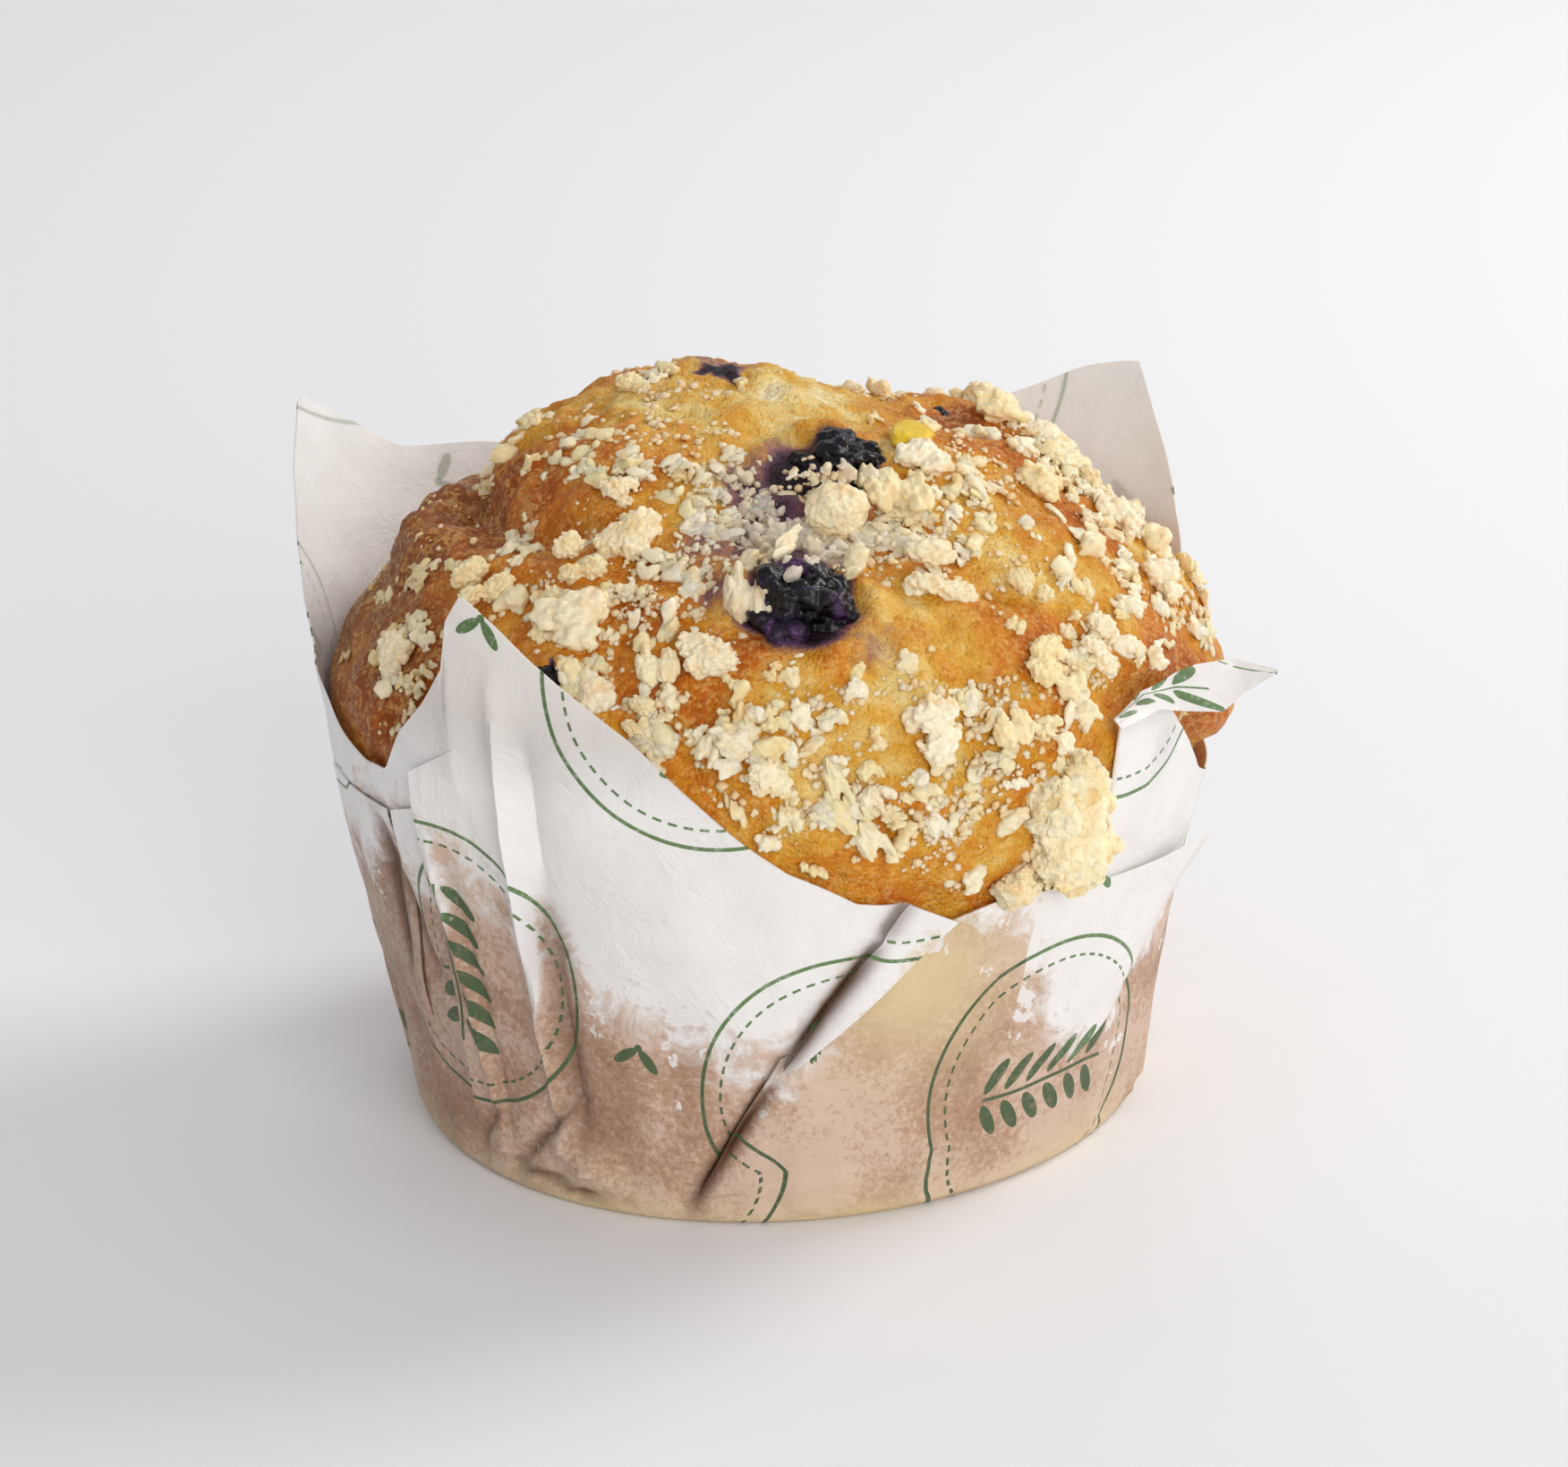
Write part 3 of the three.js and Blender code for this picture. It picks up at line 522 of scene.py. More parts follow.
def streusel_material(name, pale, cream, golden, sheen):
    """Streusel: butter, flour and sugar rubbed to crumbs and baked until just dry.

    Opaque cream with sandy grain of about 0.25 mm, a little golden in soft clouds. The
    attribute "crumb" holds each crumb's own tint, the berry juice it took up, and how golden
    it is: towards its underside, partly toasted and partly painted shade, and on the left side
    as painted shade.
    """
    material, tree = new_material(name)
    place = add(tree, "TexCoord").outputs["Object"]
    crumb = add(tree, "Attribute", {"attribute_name": "crumb"})
    masks = add(tree, "SeparateColor", links={0: crumb})
    sand = add(tree, "TexNoise", {"Scale": every(0.588), "Detail": 3.0, "Roughness": 0.6},
               {"Vector": place})
    cloud = add(tree, "TexNoise", {"Scale": every(2.38), "Detail": 3.0}, {"Vector": place})
    body = add(tree, "Mix", {"data_type": "RGBA", 6: linear(pale), 7: linear(cream)},
               {0: masks.outputs["Red"]})
    warm = add(tree, "MapRange", {"From Min": 0.5, "From Max": 0.75}, {"Value": cloud})
    # Golden from the mask, which holds toasting and painted shade, or in warm clouds.
    toasted_and_shaded = add(tree, "Math", {"operation": "MAXIMUM"}, {0: masks.outputs["Blue"], 1: warm})
    part = add(tree, "Math", {"operation": "MULTIPLY", 1: 0.75}, {0: toasted_and_shaded})
    baked = add(tree, "Mix", {"data_type": "RGBA", 7: linear(golden)},
                {0: part, 6: body.outputs[2]})
    grain = add(tree, "MapRange", {"From Min": 0.3, "From Max": 0.7, "To Min": 0.86},
                {"Value": sand})
    sandy = add(tree, "Mix", {"data_type": "RGBA", "blend_type": "MULTIPLY", 0: 1.0},
                {6: baked.outputs[2], 7: grain})
    purple = add(tree, "Mix", {"data_type": "RGBA", 6: linear("#D0C4BE"), 7: linear("#7A667A")},
                 {0: cloud})
    soaked = add(tree, "Mix", {"data_type": "RGBA"},
                 {0: masks.outputs["Green"], 6: sandy.outputs[2], 7: purple.outputs[2]})
    bump = add(tree, "Bump", {"Strength": 0.7, "Distance": 0.25 * MM}, {"Height": sand})
    skin = add(tree, "BsdfPrincipled",
               {"Roughness": sheen, "Subsurface Weight": 0.3,
                "Subsurface Radius": (1.0, 0.75, 0.4), "Subsurface Scale": 1 * MM,
                "Specular IOR Level": 0.4}, {"Base Color": soaked.outputs[2], "Normal": bump})
    add(tree, "OutputMaterial", links={0: skin})
    return material


def berry_material():
    """Baked blueberry: a burst, wrinkled skin over dark cooked flesh, wet with its juice.

    Nearly black with violet where the bloom or the flesh shows, and small sharp glints.
    """
    material, tree = new_material("baked_blueberry_skin")
    place = add(tree, "TexCoord").outputs["Object"]
    bloom = add(tree, "TexNoise", {"Scale": every(3.85), "Detail": 5.0, "Roughness": 0.7},
                {"Vector": place})
    colour = add(tree, "ValToRGB",
                 {"stops": [(0.46, "#08050A"), (0.55, "#140B19"), (0.63, "#43254F"),
                            (0.74, "#8C6A92")]}, {"Fac": bloom})
    wrinkles = add(tree, "TexNoise", {"Scale": every(1.11), "Detail": 4.0}, {"Vector": place})
    bump = add(tree, "Bump", {"Strength": 0.8, "Distance": 0.4 * MM}, {"Height": wrinkles})
    gloss = add(tree, "MapRange",
                {"From Min": 0.35, "From Max": 0.65, "To Min": 0.14, "To Max": 0.5},
                {"Value": bloom})
    skin = add(tree, "BsdfPrincipled", {"Specular IOR Level": 0.32},
               {"Base Color": colour, "Roughness": gloss, "Normal": bump})
    add(tree, "OutputMaterial", links={0: skin})
    return material


# The print, in mm on the flat sheet. across and up are from badge to badge, turn is in degrees.
# Half widths: line of the ring, dash of the stitched ring, stem_half of the stem. stitches is
# how many, stitch how much of each is ink. bend and swing curve the stem, leaf and pair are
# half sizes of the sprig's leaves and of the small pair between badges.
PRINT = dict(across=44.0, up=38.0, turn=24.0, ring=15.0, dashes=13.1, line=0.20, dash=0.14,
             stitches=56, stitch=0.58, stem=8.6, stem_half=0.2, bend=0.16, swing=1.6,
             leaf_step=2.9, leaf_aside=2.3, leaf=(2.1, 0.72), lean=38, dot=0.4,
             pair_aside=1.7, pair=(1.5, 0.55))


def print_mask(tree):
    """Rings with a leafy sprig, in a staggered lattice, as a mask from the sheet's own map."""
    sheet = add(tree, "UVMap", {"uv_map": "sheet"})
    turned = add(tree, "Mapping",
                 {"vector_type": "POINT", "Rotation": (0.0, 0.0, math.radians(PRINT["turn"]))},
                 {"Vector": sheet})
    at = add(tree, "SeparateXYZ", links={0: turned})

    across, up = PRINT["across"], PRINT["up"]
    lean, half = math.radians(PRINT["lean"]), math.sqrt(0.5)
    leaf_long, leaf_wide = PRINT["leaf"]
    pair_long, pair_wide = PRINT["pair"]
    # A row for each sum: its name, what it does, and its inputs, which are numbers or the
    # names of rows above it
    found = {"sheet_x": at.outputs["X"], "sheet_y": at.outputs["Y"]}
    for name, operation, *inputs in (
            # Where a point lies in its own badge: every other row moves along by half a badge
            ("row", "DIVIDE", "sheet_y", up),
            ("whole_row", "FLOOR", "row"),
            ("row_number", "ABSOLUTE", "whole_row"),
            ("odd", "MODULO", "row_number", 2.0),
            ("straight_column", "DIVIDE", "sheet_x", across),
            ("column", "MULTIPLY_ADD", "odd", 0.5, "straight_column"),
            ("part_column", "FRACT", "column"),
            ("from_middle_x", "SUBTRACT", "part_column", 0.5),
            ("x", "MULTIPLY", "from_middle_x", across),
            ("part_row", "FRACT", "row"),
            ("from_middle_y", "SUBTRACT", "part_row", 0.5),
            ("y", "MULTIPLY", "from_middle_y", up),
            ("x_squared", "MULTIPLY", "x", "x"),
            ("y_squared", "MULTIPLY", "y", "y"),
            ("radius_squared", "ADD", "x_squared", "y_squared"),
            ("radius", "SQRT", "radius_squared"),
            # The plain ring, and the ring of stitches inside it
            ("off_ring", "SUBTRACT", "radius", PRINT["ring"]),
            ("beside_ring", "ABSOLUTE", "off_ring"),
            ("ring", "LESS_THAN", "beside_ring", PRINT["line"]),
            ("angle", "ARCTAN2", "y", "x"),
            ("stitch_count", "MULTIPLY", "angle", PRINT["stitches"] / math.tau),
            ("part_stitch", "FRACT", "stitch_count"),
            ("off_dashes", "SUBTRACT", "radius", PRINT["dashes"]),
            ("beside_dashes", "ABSOLUTE", "off_dashes"),
            ("dash_ring", "LESS_THAN", "beside_dashes", PRINT["dash"]),
            ("in_stitch", "LESS_THAN", "part_stitch", PRINT["stitch"]),
            ("dashes", "MULTIPLY", "dash_ring", "in_stitch"),
            # The sprig's bent stem
            ("along_bend", "MULTIPLY", "y", PRINT["bend"]),
            ("swing", "SINE", "along_bend"),
            ("stem_x", "MULTIPLY", "swing", PRINT["swing"]),
            ("off_stem", "SUBTRACT", "x", "stem_x"),
            ("aside", "ABSOLUTE", "off_stem"),
            ("up_stem", "ABSOLUTE", "y"),
            ("on_stem", "LESS_THAN", "up_stem", PRINT["stem"]),
            ("in_stem", "LESS_THAN", "aside", PRINT["stem_half"]),
            ("stem", "MULTIPLY", "in_stem", "on_stem"),
            # Its leaves: leaning ovals in pairs
            ("leaf_count", "DIVIDE", "y", PRINT["leaf_step"]),
            ("part_leaf", "FRACT", "leaf_count"),
            ("from_leaf", "SUBTRACT", "part_leaf", 0.5),
            ("v", "MULTIPLY", "from_leaf", PRINT["leaf_step"]),
            ("u", "SUBTRACT", "aside", PRINT["leaf_aside"]),
            ("v_up", "MULTIPLY", "v", math.sin(lean)),
            ("long_way", "MULTIPLY_ADD", "u", math.cos(lean), "v_up"),
            ("u_down", "MULTIPLY", "u", -math.sin(lean)),
            ("short_way", "MULTIPLY_ADD", "v", math.cos(lean), "u_down"),
            ("long_share", "DIVIDE", "long_way", leaf_long),
            ("long_squared", "POWER", "long_share", 2.0),
            ("short_share", "DIVIDE", "short_way", leaf_wide),
            ("short_squared", "POWER", "short_share", 2.0),
            ("oval", "ADD", "long_squared", "short_squared"),
            ("in_oval", "LESS_THAN", "oval", 1.0),
            ("leaves", "MULTIPLY", "in_oval", "on_stem"),
            # A dot and a pair of small leaves midway between two badges
            ("off_middle", "ABSOLUTE", "x"),
            ("between", "SUBTRACT", across / 2, "off_middle"),
            ("between_squared", "MULTIPLY", "between", "between"),
            ("beside_squared", "ADD", "between_squared", "y_squared"),
            ("beside", "SQRT", "beside_squared"),
            ("out_and_up", "ADD", "between", "y"),
            ("out_way", "MULTIPLY", "out_and_up", half),
            ("over_and_down", "SUBTRACT", "between", "y"),
            ("over_way", "MULTIPLY", "over_and_down", half),
            ("from_pair", "SUBTRACT", "out_way", PRINT["pair_aside"]),
            ("pair_share", "DIVIDE", "from_pair", pair_long),
            ("pair_squared", "POWER", "pair_share", 2.0),
            ("over_share", "DIVIDE", "over_way", pair_wide),
            ("over_squared", "POWER", "over_share", 2.0),
            ("pair_oval", "ADD", "pair_squared", "over_squared"),
            ("dot", "LESS_THAN", "beside", PRINT["dot"]),
            ("pair", "LESS_THAN", "pair_oval", 1.0),
            ("dots", "ADD", "dot", "pair"),
            # All the ink
            ("ink_1", "MAXIMUM", "ring", "dashes"),
            ("ink_2", "MAXIMUM", "ink_1", "stem"),
            ("ink_3", "MAXIMUM", "ink_2", "leaves"),
            ("ink", "MAXIMUM", "ink_3", "dots")):
        numbers = {k: v for k, v in enumerate(inputs) if not isinstance(v, str)}
        feeds = {k: found[v] for k, v in enumerate(inputs) if isinstance(v, str)}
        found[name] = add(tree, "Math", {"operation": operation, **numbers}, feeds)
    return found["ink"]


def paper_material(name, ghost, dry):
    """Greaseproof baking paper: dense, supercalendered, printed in green on its outside.

    White with a soft sheen where it stayed dry, and tan where butter soaked in against the
    cake: mottled at 0.5 mm by its fibres, in clouds of 10 mm, with a curled, ragged edge to
    the stain. The attribute "grease" holds how soaked it is (less on ridges, which
    are painted pale as unstained paper and a painted highlight), how dark it is painted
    (painted shade in the creases, with some grease stain, and low on the left side) and how
    yellow. ghost is how much of the print shows on this face, dry its two whites. Light
    comes through where it stands free of the cake.
    """
    material, tree = new_material(name)
    place = add(tree, "TexCoord").outputs["Object"]
    grease = add(tree, "Attribute", {"attribute_name": "grease"})
    masks = add(tree, "SeparateColor", links={0: grease})
    ragged = add(tree, "TexNoise",
                 {"Scale": every(4.76), "Detail": 7.0, "Roughness": 0.68, "Distortion": 0.9},
                 {"Vector": place})
    fibres = add(tree, "TexNoise",
                 {"Scale": every(0.667), "Detail": 5.0, "Roughness": 0.75, "Distortion": 0.25},
                 {"Vector": place})
    clouds = add(tree, "TexNoise", {"Scale": every(11.1), "Detail": 5.0, "Roughness": 0.55},
                 {"Vector": place})
    pushed = add(tree, "Math", {"operation": "MULTIPLY_ADD", 1: 0.85, 2: -0.425}, {0: ragged})
    fringe = add(tree, "Math", {"operation": "MULTIPLY_ADD", 1: 0.34, 2: -0.17}, {0: fibres})
    spread = add(tree, "Math", {"operation": "ADD"}, {0: pushed, 1: fringe})
    level = add(tree, "Math", {"operation": "ADD"}, {0: masks.outputs["Red"], 1: spread})
    soak = add(tree, "MapRange", {"From Min": 0.40, "From Max": 0.58}, {"Value": level})
    spots = add(tree, "TexNoise", {"Scale": every(3.03), "Detail": 4.0, "Roughness": 0.6},
                {"Vector": place})
    near = add(tree, "MapRange",
               {"From Min": 0.55, "From Max": 1.05, "To Min": 0.60, "To Max": 0.80},
               {"Value": level})
    fleck = add(tree, "Math", {"operation": "GREATER_THAN"}, {0: spots, 1: near})
    kept = add(tree, "Math", {"operation": "MULTIPLY_ADD", 1: -0.8, 2: 1.0}, {0: fleck})
    soak = add(tree, "Math", {"operation": "MULTIPLY"}, {0: soak, 1: kept})
    tone = add(tree, "Math", {"operation": "MULTIPLY_ADD", 1: 0.85}, {0: fibres, 2: clouds})
    tan = add(tree, "ValToRGB",
              {"stops": [(0.64, "#9F765A"), (0.86, "#BF9A80"), (1.0, "#D9BDA8")]},
              {"Fac": tone})
    yellowed = add(tree, "Mix", {"data_type": "RGBA", 7: linear("#E9D2A2")},
                   {0: masks.outputs["Blue"], 6: tan})
    white = add(tree, "Mix", {"data_type": "RGBA", 6: linear(dry[0]), 7: linear(dry[1])},
                {0: clouds})
    soaked = add(tree, "Mix", {"data_type": "RGBA"},
                 {0: soak, 6: white.outputs[2], 7: yellowed.outputs[2]})
    # Painted shade: the creases and the low left side darken towards #5C361B; in the creases this
    # is partly grease stain too.
    folds = add(tree, "Mix", {"data_type": "RGBA", 7: linear("#5C361B")},
                {0: masks.outputs["Green"], 6: soaked.outputs[2]})
    wear_off = add(tree, "MapRange",
                   {"From Min": 0.30, "From Max": 0.48, "To Min": 0.55 * ghost,
                    "To Max": ghost}, {"Value": fibres})
    ink = add(tree, "Math", {"operation": "MULTIPLY"}, {0: print_mask(tree), 1: wear_off})
    green = add(tree, "Mix", {"data_type": "RGBA", 6: linear("#64824F"), 7: linear("#4A5F3C")},
                {0: soak})
    printed = add(tree, "Mix", {"data_type": "RGBA"},
                  {0: ink, 6: folds.outputs[2], 7: green.outputs[2]})
    crackle = add(tree, "TexVoronoi",
                  {"feature": "SMOOTH_F1", "Scale": every(10.53), "Smoothness": 0.12},
                  {"Vector": place})
    facets = add(tree, "Bump", {"Strength": 0.30, "Distance": 1.2 * MM}, {"Height": crackle})
    fibre = add(tree, "Bump", {"Strength": 0.35, "Distance": 0.12 * MM},
                {"Height": fibres, "Normal": facets})
    cockle = add(tree, "Bump", {"Strength": 0.55, "Distance": 0.8 * MM},
                 {"Height": ragged, "Normal": fibre})
    gloss = add(tree, "MapRange", {"To Min": 0.38, "To Max": 0.50}, {"Value": soak})
    sheet = add(tree, "BsdfPrincipled", {"Specular IOR Level": 0.5},
                {"Base Color": printed.outputs[2], "Roughness": gloss, "Normal": cockle})
    through = add(tree, "BsdfTranslucent", links={"Color": printed.outputs[2]})
    height = add(tree, "SeparateXYZ", links={0: place})
    thin = add(tree, "MapRange",
               {"From Min": 44 * MM, "From Max": 52 * MM, "To Min": 0.05, "To Max": 0.4},
               {"Value": height.outputs["Z"]})
    lit = add(tree, "MixShader", links={0: thin, 1: sheet, 2: through})
    add(tree, "OutputMaterial", links={0: lit})
    return material


def table_material():
    """Matt white card, laid flat: no grain that shows."""
    material, tree = new_material("white_card")
    card = add(tree, "BsdfPrincipled",
               {"Base Color": linear("#F2F2F4"), "Roughness": 0.8, "Specular IOR Level": 0.2})
    add(tree, "OutputMaterial", links={0: card})
    return material


# ------------------------------------------------------------------ cake

# The sphere that the cake starts from: its segments and rings, the share of the rings down
# to the lowest crust that shows, the share down to the foot, how round the foot is in mm and
# how soon it is round.
CAKE_RINGS = dict(around=420, down=224, crust=0.70, side=0.88, lowest_fall=114.0, foot=2.4,
                  foot_turn=8)

# Behind the paper, in mm: how far the cake lies from the paper's outside, how far in its skin
# may move, how far short of the paper it stops, and over what height this starts.
SNUG = dict(behind=0.55, inward=0.9, spare=0.4, over=3.0)

# The lip round a berry, in shares of the berry: how far out it lies, its width and height.
LIP = dict(out=0.52, width=0.12, height=0.40)


def torn_lips(points, azimuth, fall):
    """Crust pushed up round each berry, where it swelled and burst."""
    _, out = crust(azimuth, fall)
    raised = np.zeros(len(points))
    for centre, (_, _, b_fall, size, sunk) in zip(BERRY_CENTRES, BERRIES):
        away = np.linalg.norm(points - centre, axis=1) / size[0]
        around = np.arctan2(points[:, 1] - centre[1], points[:, 0] - centre[0])
        uneven = 0.6 + 0.4 * np.sin(2 * around + b_fall) + 0.25 * np.sin(5 * around)
        lip = bump_at(away, LIP["out"], LIP["width"])
        raised = raised + (1 - sunk) * LIP["height"] * size[2] * lip * uneven
    return out * raised[:, None]


def cake():
    """A sphere laid over the crust's form, then roughened at the scales of a baked crust."""
    deselect()
    bpy.ops.mesh.primitive_uv_sphere_add(segments=CAKE_RINGS["around"],
                                         ring_count=CAKE_RINGS["down"], radius=1.0)
    piece = name_new("muffin_cake")
    ball = points_of(piece)
    azimuth = np.degrees(np.arctan2(ball[:, 0], -ball[:, 1]))
    share = np.degrees(np.arccos(np.clip(ball[:, 2], -1, 1))) / 180.0
    top, side = CAKE_RINGS["crust"], CAKE_RINGS["side"]
    low = CAKE_RINGS["lowest_fall"]
    fall = np.where(share < top, share / top * low, low)
    points, _ = crust(azimuth, fall)
    bottom, foot = CASE["paper"] + FIT, CAKE_RINGS["foot"]
    down = np.clip((share - top) / (side - top), 0.0, 1.0)
    z = mix(CAKE["rim"] - (low - 90) * FALL_PITCH, bottom + foot, down)
    points = np.where((share > top)[:, None], polar(azimuth, cake_wall_radius(z), z), points)
    under = np.clip((share - side) / (1 - side), 0.0, 1.0)
    drop = bottom + foot * np.maximum(0.0, 1 - under * CAKE_RINGS["foot_turn"]) ** 2
    radius = cake_wall_radius(drop) - foot * np.clip(under * CAKE_RINGS["foot_turn"], 0, 1) ** 2
    radius = radius * (1 - under)
    points = np.where((share > side)[:, None], polar(azimuth, radius, drop), points)
    points = points + torn_lips(points, azimuth, fall)
    # The cake fills the paper more closely than the solid model, which keeps a gap.
    snug = ease_in((paper_over(azimuth) - points[:, 2]) / SNUG["over"]) * (share < side)
    relief = creases_at(azimuth, points[:, 2])[0] + cockling(azimuth, points[:, 2])
    wall = case_radius(azimuth, points[:, 2]) - SNUG["behind"] + np.minimum(0.0, relief)
    radius = np.hypot(points[:, 0], points[:, 1])
    gap = CASE["paper"] + CASE["sag"] + FIT
    room = np.clip(wall - radius, -SNUG["inward"], gap - SNUG["spare"])
    points = points + polar(azimuth, room * snug, 0.0 * azimuth)
    move_points(piece, points * MM)

    shown = ease_in((points[:, 2] - paper_over(azimuth) + 2.0) / 4.0)
    craggy = shown * np.clip(bump_at(turn_between(azimuth, -95), 0, 55)
                             + bump_at(turn_between(azimuth, 150), 0, 40), 0, 1)
    all_over = weigh(piece, "shown", shown)
    left_side = weigh(piece, "craggy", craggy)
    roughen(piece, relief_texture("CLOUDS", 5.0, noise_depth=2), 0.9, all_over)
    roughen(piece, relief_texture("CLOUDS", 1.7, noise_depth=3), 0.75, all_over)
    roughen(piece, relief_texture("VORONOI", 2.6), 1.0, left_side)
    roughen(piece, relief_texture("STUCCI", 1.2), 0.35, left_side)
    smooth(piece)
    paint_bake_and_shade(piece)
    wear(piece, crust_material())
    return piece


# How brown the crust is, where it differs from the middle: azimuth, fall, change, reach in mm.
# The rows at azimuth -95 darken the left side as painted shade.
BROWNING_AND_SHADE = [
    (-95, 55, 0.42, 16), (-60, 45, 0.22, 12), (-60, 75, 0.30, 12), (12, 62, -0.02, 9),
    (-12, 68, 0.10, 10), (0, 80, 0.02, 8), (30, 82, -0.04, 9), (8, 92, -0.26, 12),
    (40, 58, -0.05, 8), (70, 62, 0.22, 8), (74, 48, 0.16, 5), (-95, 90, 0.20, 12),
    (95, 45, 0.20, 6), (84, 34, 0.14, 6), (-40, 24, 0.14, 5), (-110, 20, -0.05, 9),
    (-20, 8, -0.30, 9), (150, 8, -0.34, 10), (60, 20, -0.34, 7), (42, 40, -0.16, 7),
    (58, 48, -0.18, 7), (-20, 22, -0.20, 6), (40, 98, -0.25, 4.0), (34, 106, -0.25, 3.5),
    (48, 90, 0.10, 4.0), (60, 88, -0.05, 6), (25, 50, 0.06, 8), (90, 70, -0.20, 7),
    (-75, 22, 0.08, 8), (62, 55, -0.12, 6), (103, 24, 0.45, 2.6), (112, 28, 0.5, 2.6),
    (-75, 16, -0.14, 8), (-138, 11, -0.2, 4)]


# Juice beside the berries: azimuth, fall, reach in mm, strength.
JUICE_SMEARS = [
    (0, 17, 4.0, 0.62), (-4, 22, 2.6, 0.75), (12, 12, 3.0, 0.55), (-14, 38, 3.5, 0.35),
    (14, 55, 4.0, 0.45), (108, 20, 2.0, 0.25), (-160, 12, 4.0, 0.5), (62, 40, 2.2, 0.3),
    (5, 33, 6.0, 0.9), (-3, 18, 4.0, 0.8), (5, 24, 4.5, 0.9), (-12, 32, 4.5, 0.5),
    (24, 27, 4.0, 0.55), (-6, 44, 3.5, 0.6)]


def juice_at(points):
    """How much juice reached each point of the crust or the streusel."""
    juice = berry_nearness(points)
    for azimuth, fall, reach, wet in JUICE_SMEARS:
        spot, _ = crust(azimuth, fall)
        juice = np.maximum(juice, wet * bump_at(np.linalg.norm(points - spot, axis=1), 0, reach))
    return juice


# How brown the middle of the crust is and how much browner it gets low down: below a height,
# over so many mm. Then the painted shade on the left side, a grey: azimuth, half width and
# strength, the height below which it shows and over how many mm.
BAKE_AND_SHADE = dict(brown=0.57, low=0.20, below=38, over=10, shade_azimuth=-110, shade_half=42, shade_grey=0.7,
            shade_below=62, shade_over=14)


def paint_bake_and_shade(piece):
    """Paints the crust: how brown it is, the juice of the berries, and painted shade on the left
    side.
    """
    points = points_of(piece) / MM
    brown = np.full(len(points), BAKE_AND_SHADE["brown"])
    for azimuth, fall, change, reach in BROWNING_AND_SHADE:
        centre, _ = crust(azimuth, fall)
        brown += change * np.exp(-((np.linalg.norm(points - centre, axis=1) / reach) ** 2))
    brown += BAKE_AND_SHADE["low"] * ease_in((BAKE_AND_SHADE["below"] - points[:, 2]) / BAKE_AND_SHADE["over"])
    azimuth = np.degrees(np.arctan2(points[:, 0], -points[:, 1]))
    # Painted shade: a grey over the left side, growing lower down.
    shade_grey = BAKE_AND_SHADE["shade_grey"] * bump_at(turn_between(azimuth, BAKE_AND_SHADE["shade_azimuth"]), 0, BAKE_AND_SHADE["shade_half"])
    shade_grey = shade_grey * ease_in((BAKE_AND_SHADE["shade_below"] - points[:, 2]) / BAKE_AND_SHADE["shade_over"] + 0.4)
    paint(piece, "bake", brown, juice_at(points), shade_grey)


# ------------------------------------------------------------------ streusel


def ball(subdivisions):
    """Points and triangles of a ball 1 across."""
    deselect()
    bpy.ops.mesh.primitive_ico_sphere_add(subdivisions=subdivisions, radius=0.5)
    made = bpy.context.object
    points = points_of(made)
    triangles = np.empty(3 * len(made.data.polygons), np.int32)
    made.data.polygons.foreach_get("vertices", triangles)
    bpy.data.objects.remove(made, do_unlink=True)
    return points, triangles.reshape(-1, 3)


def pressed(rng, name, core, granules, sizes, flat, voxel, faces):
    """One crumb of streusel: granules pressed together, fused into one skin, 1 across.

    core is the butter in its middle, as a share of the size: a few uneven lumps. With none
    the granules grow from one another into a ragged cluster.
    """
    lumps = 5 if core > 0 else 1
    centres = list(rng.normal(size=(lumps, 3)) * np.array((0.42, 0.42, 0.16)) * core)
    radii = list(rng.uniform(0.26, 0.5, lumps) * max(core, sizes[1]))
    for _ in range(granules):
        radius = rng.uniform(*sizes) / 2
        if core > 0 and rng.random() < 0.8:
            parent = rng.integers(0, lumps)
        else:
            parent = rng.integers(max(0, len(radii) - 10), len(radii))
        way = rng.normal(size=3)
        way = way / np.linalg.norm(way)
        centres.append(centres[parent] + way * (1, 1, flat if parent < lumps else 1)
                       * (radii[parent] + 0.35 * radius))
        radii.append(radius)
    points, triangles = ball(2)
    stretch = rng.uniform(0.7, 1.3, (len(radii), 1, 3)) * rng.uniform(0.75, 1.25,
                                                                      (len(radii), 42, 1))
    stretch[:lumps] = (1, 1, flat)
    many = np.array(centres)[:, None, :] + points * 2 * np.array(radii)[:, None, None] * stretch
    faces_of_all = triangles + len(points) * np.arange(len(radii))[:, None, None]
    clump = mesh_of(name, many.reshape(-1, 3), faces_of_all.reshape(-1, 3))
    finish_with(clump, "REMESH", mode="VOXEL", voxel_size=voxel)
    count = 2 * len(clump.data.polygons)
    if faces < count:
        finish_with(clump, "DECIMATE", ratio=faces / count)
    finish_with(clump, "TRIANGULATE")
    points = points_of(clump)
    triangles = np.empty(3 * len(clump.data.polygons), np.int32)
    clump.data.polygons.foreach_get("vertices", triangles)
    bpy.data.objects.remove(clump, do_unlink=True)
    low, high = points.min(axis=0), points.max(axis=0)
    return (points - (low + high) / 2) / (high - low), triangles.reshape(-1, 3)


def crystal(rng, subdivisions, roughness):
    """One loose grain: a ball with its corners pushed in and out."""
    points, triangles = ball(subdivisions)
    return points * (1 + roughness * (rng.random((len(points), 1)) - 0.5)), triangles


def granular(rng, granules, heights, widths, boxy=2.0):
    """A lump with granules half sunk in its skin. More than 2 for boxy squares it up."""
    points, triangles = ball(6)
    ways = rng.normal(size=(granules, 3))
    ways = ways / np.linalg.norm(ways, axis=1, keepdims=True)
    apart = 1 - 2 * points @ ways.T
    domes = rng.uniform(*heights, granules) * np.exp(-apart / rng.uniform(*widths, granules))
    squared = (np.abs(2 * points) ** boxy).sum(axis=1) ** (-1 / boxy)
    return points * (squared + domes.max(axis=1))[:, None], triangles


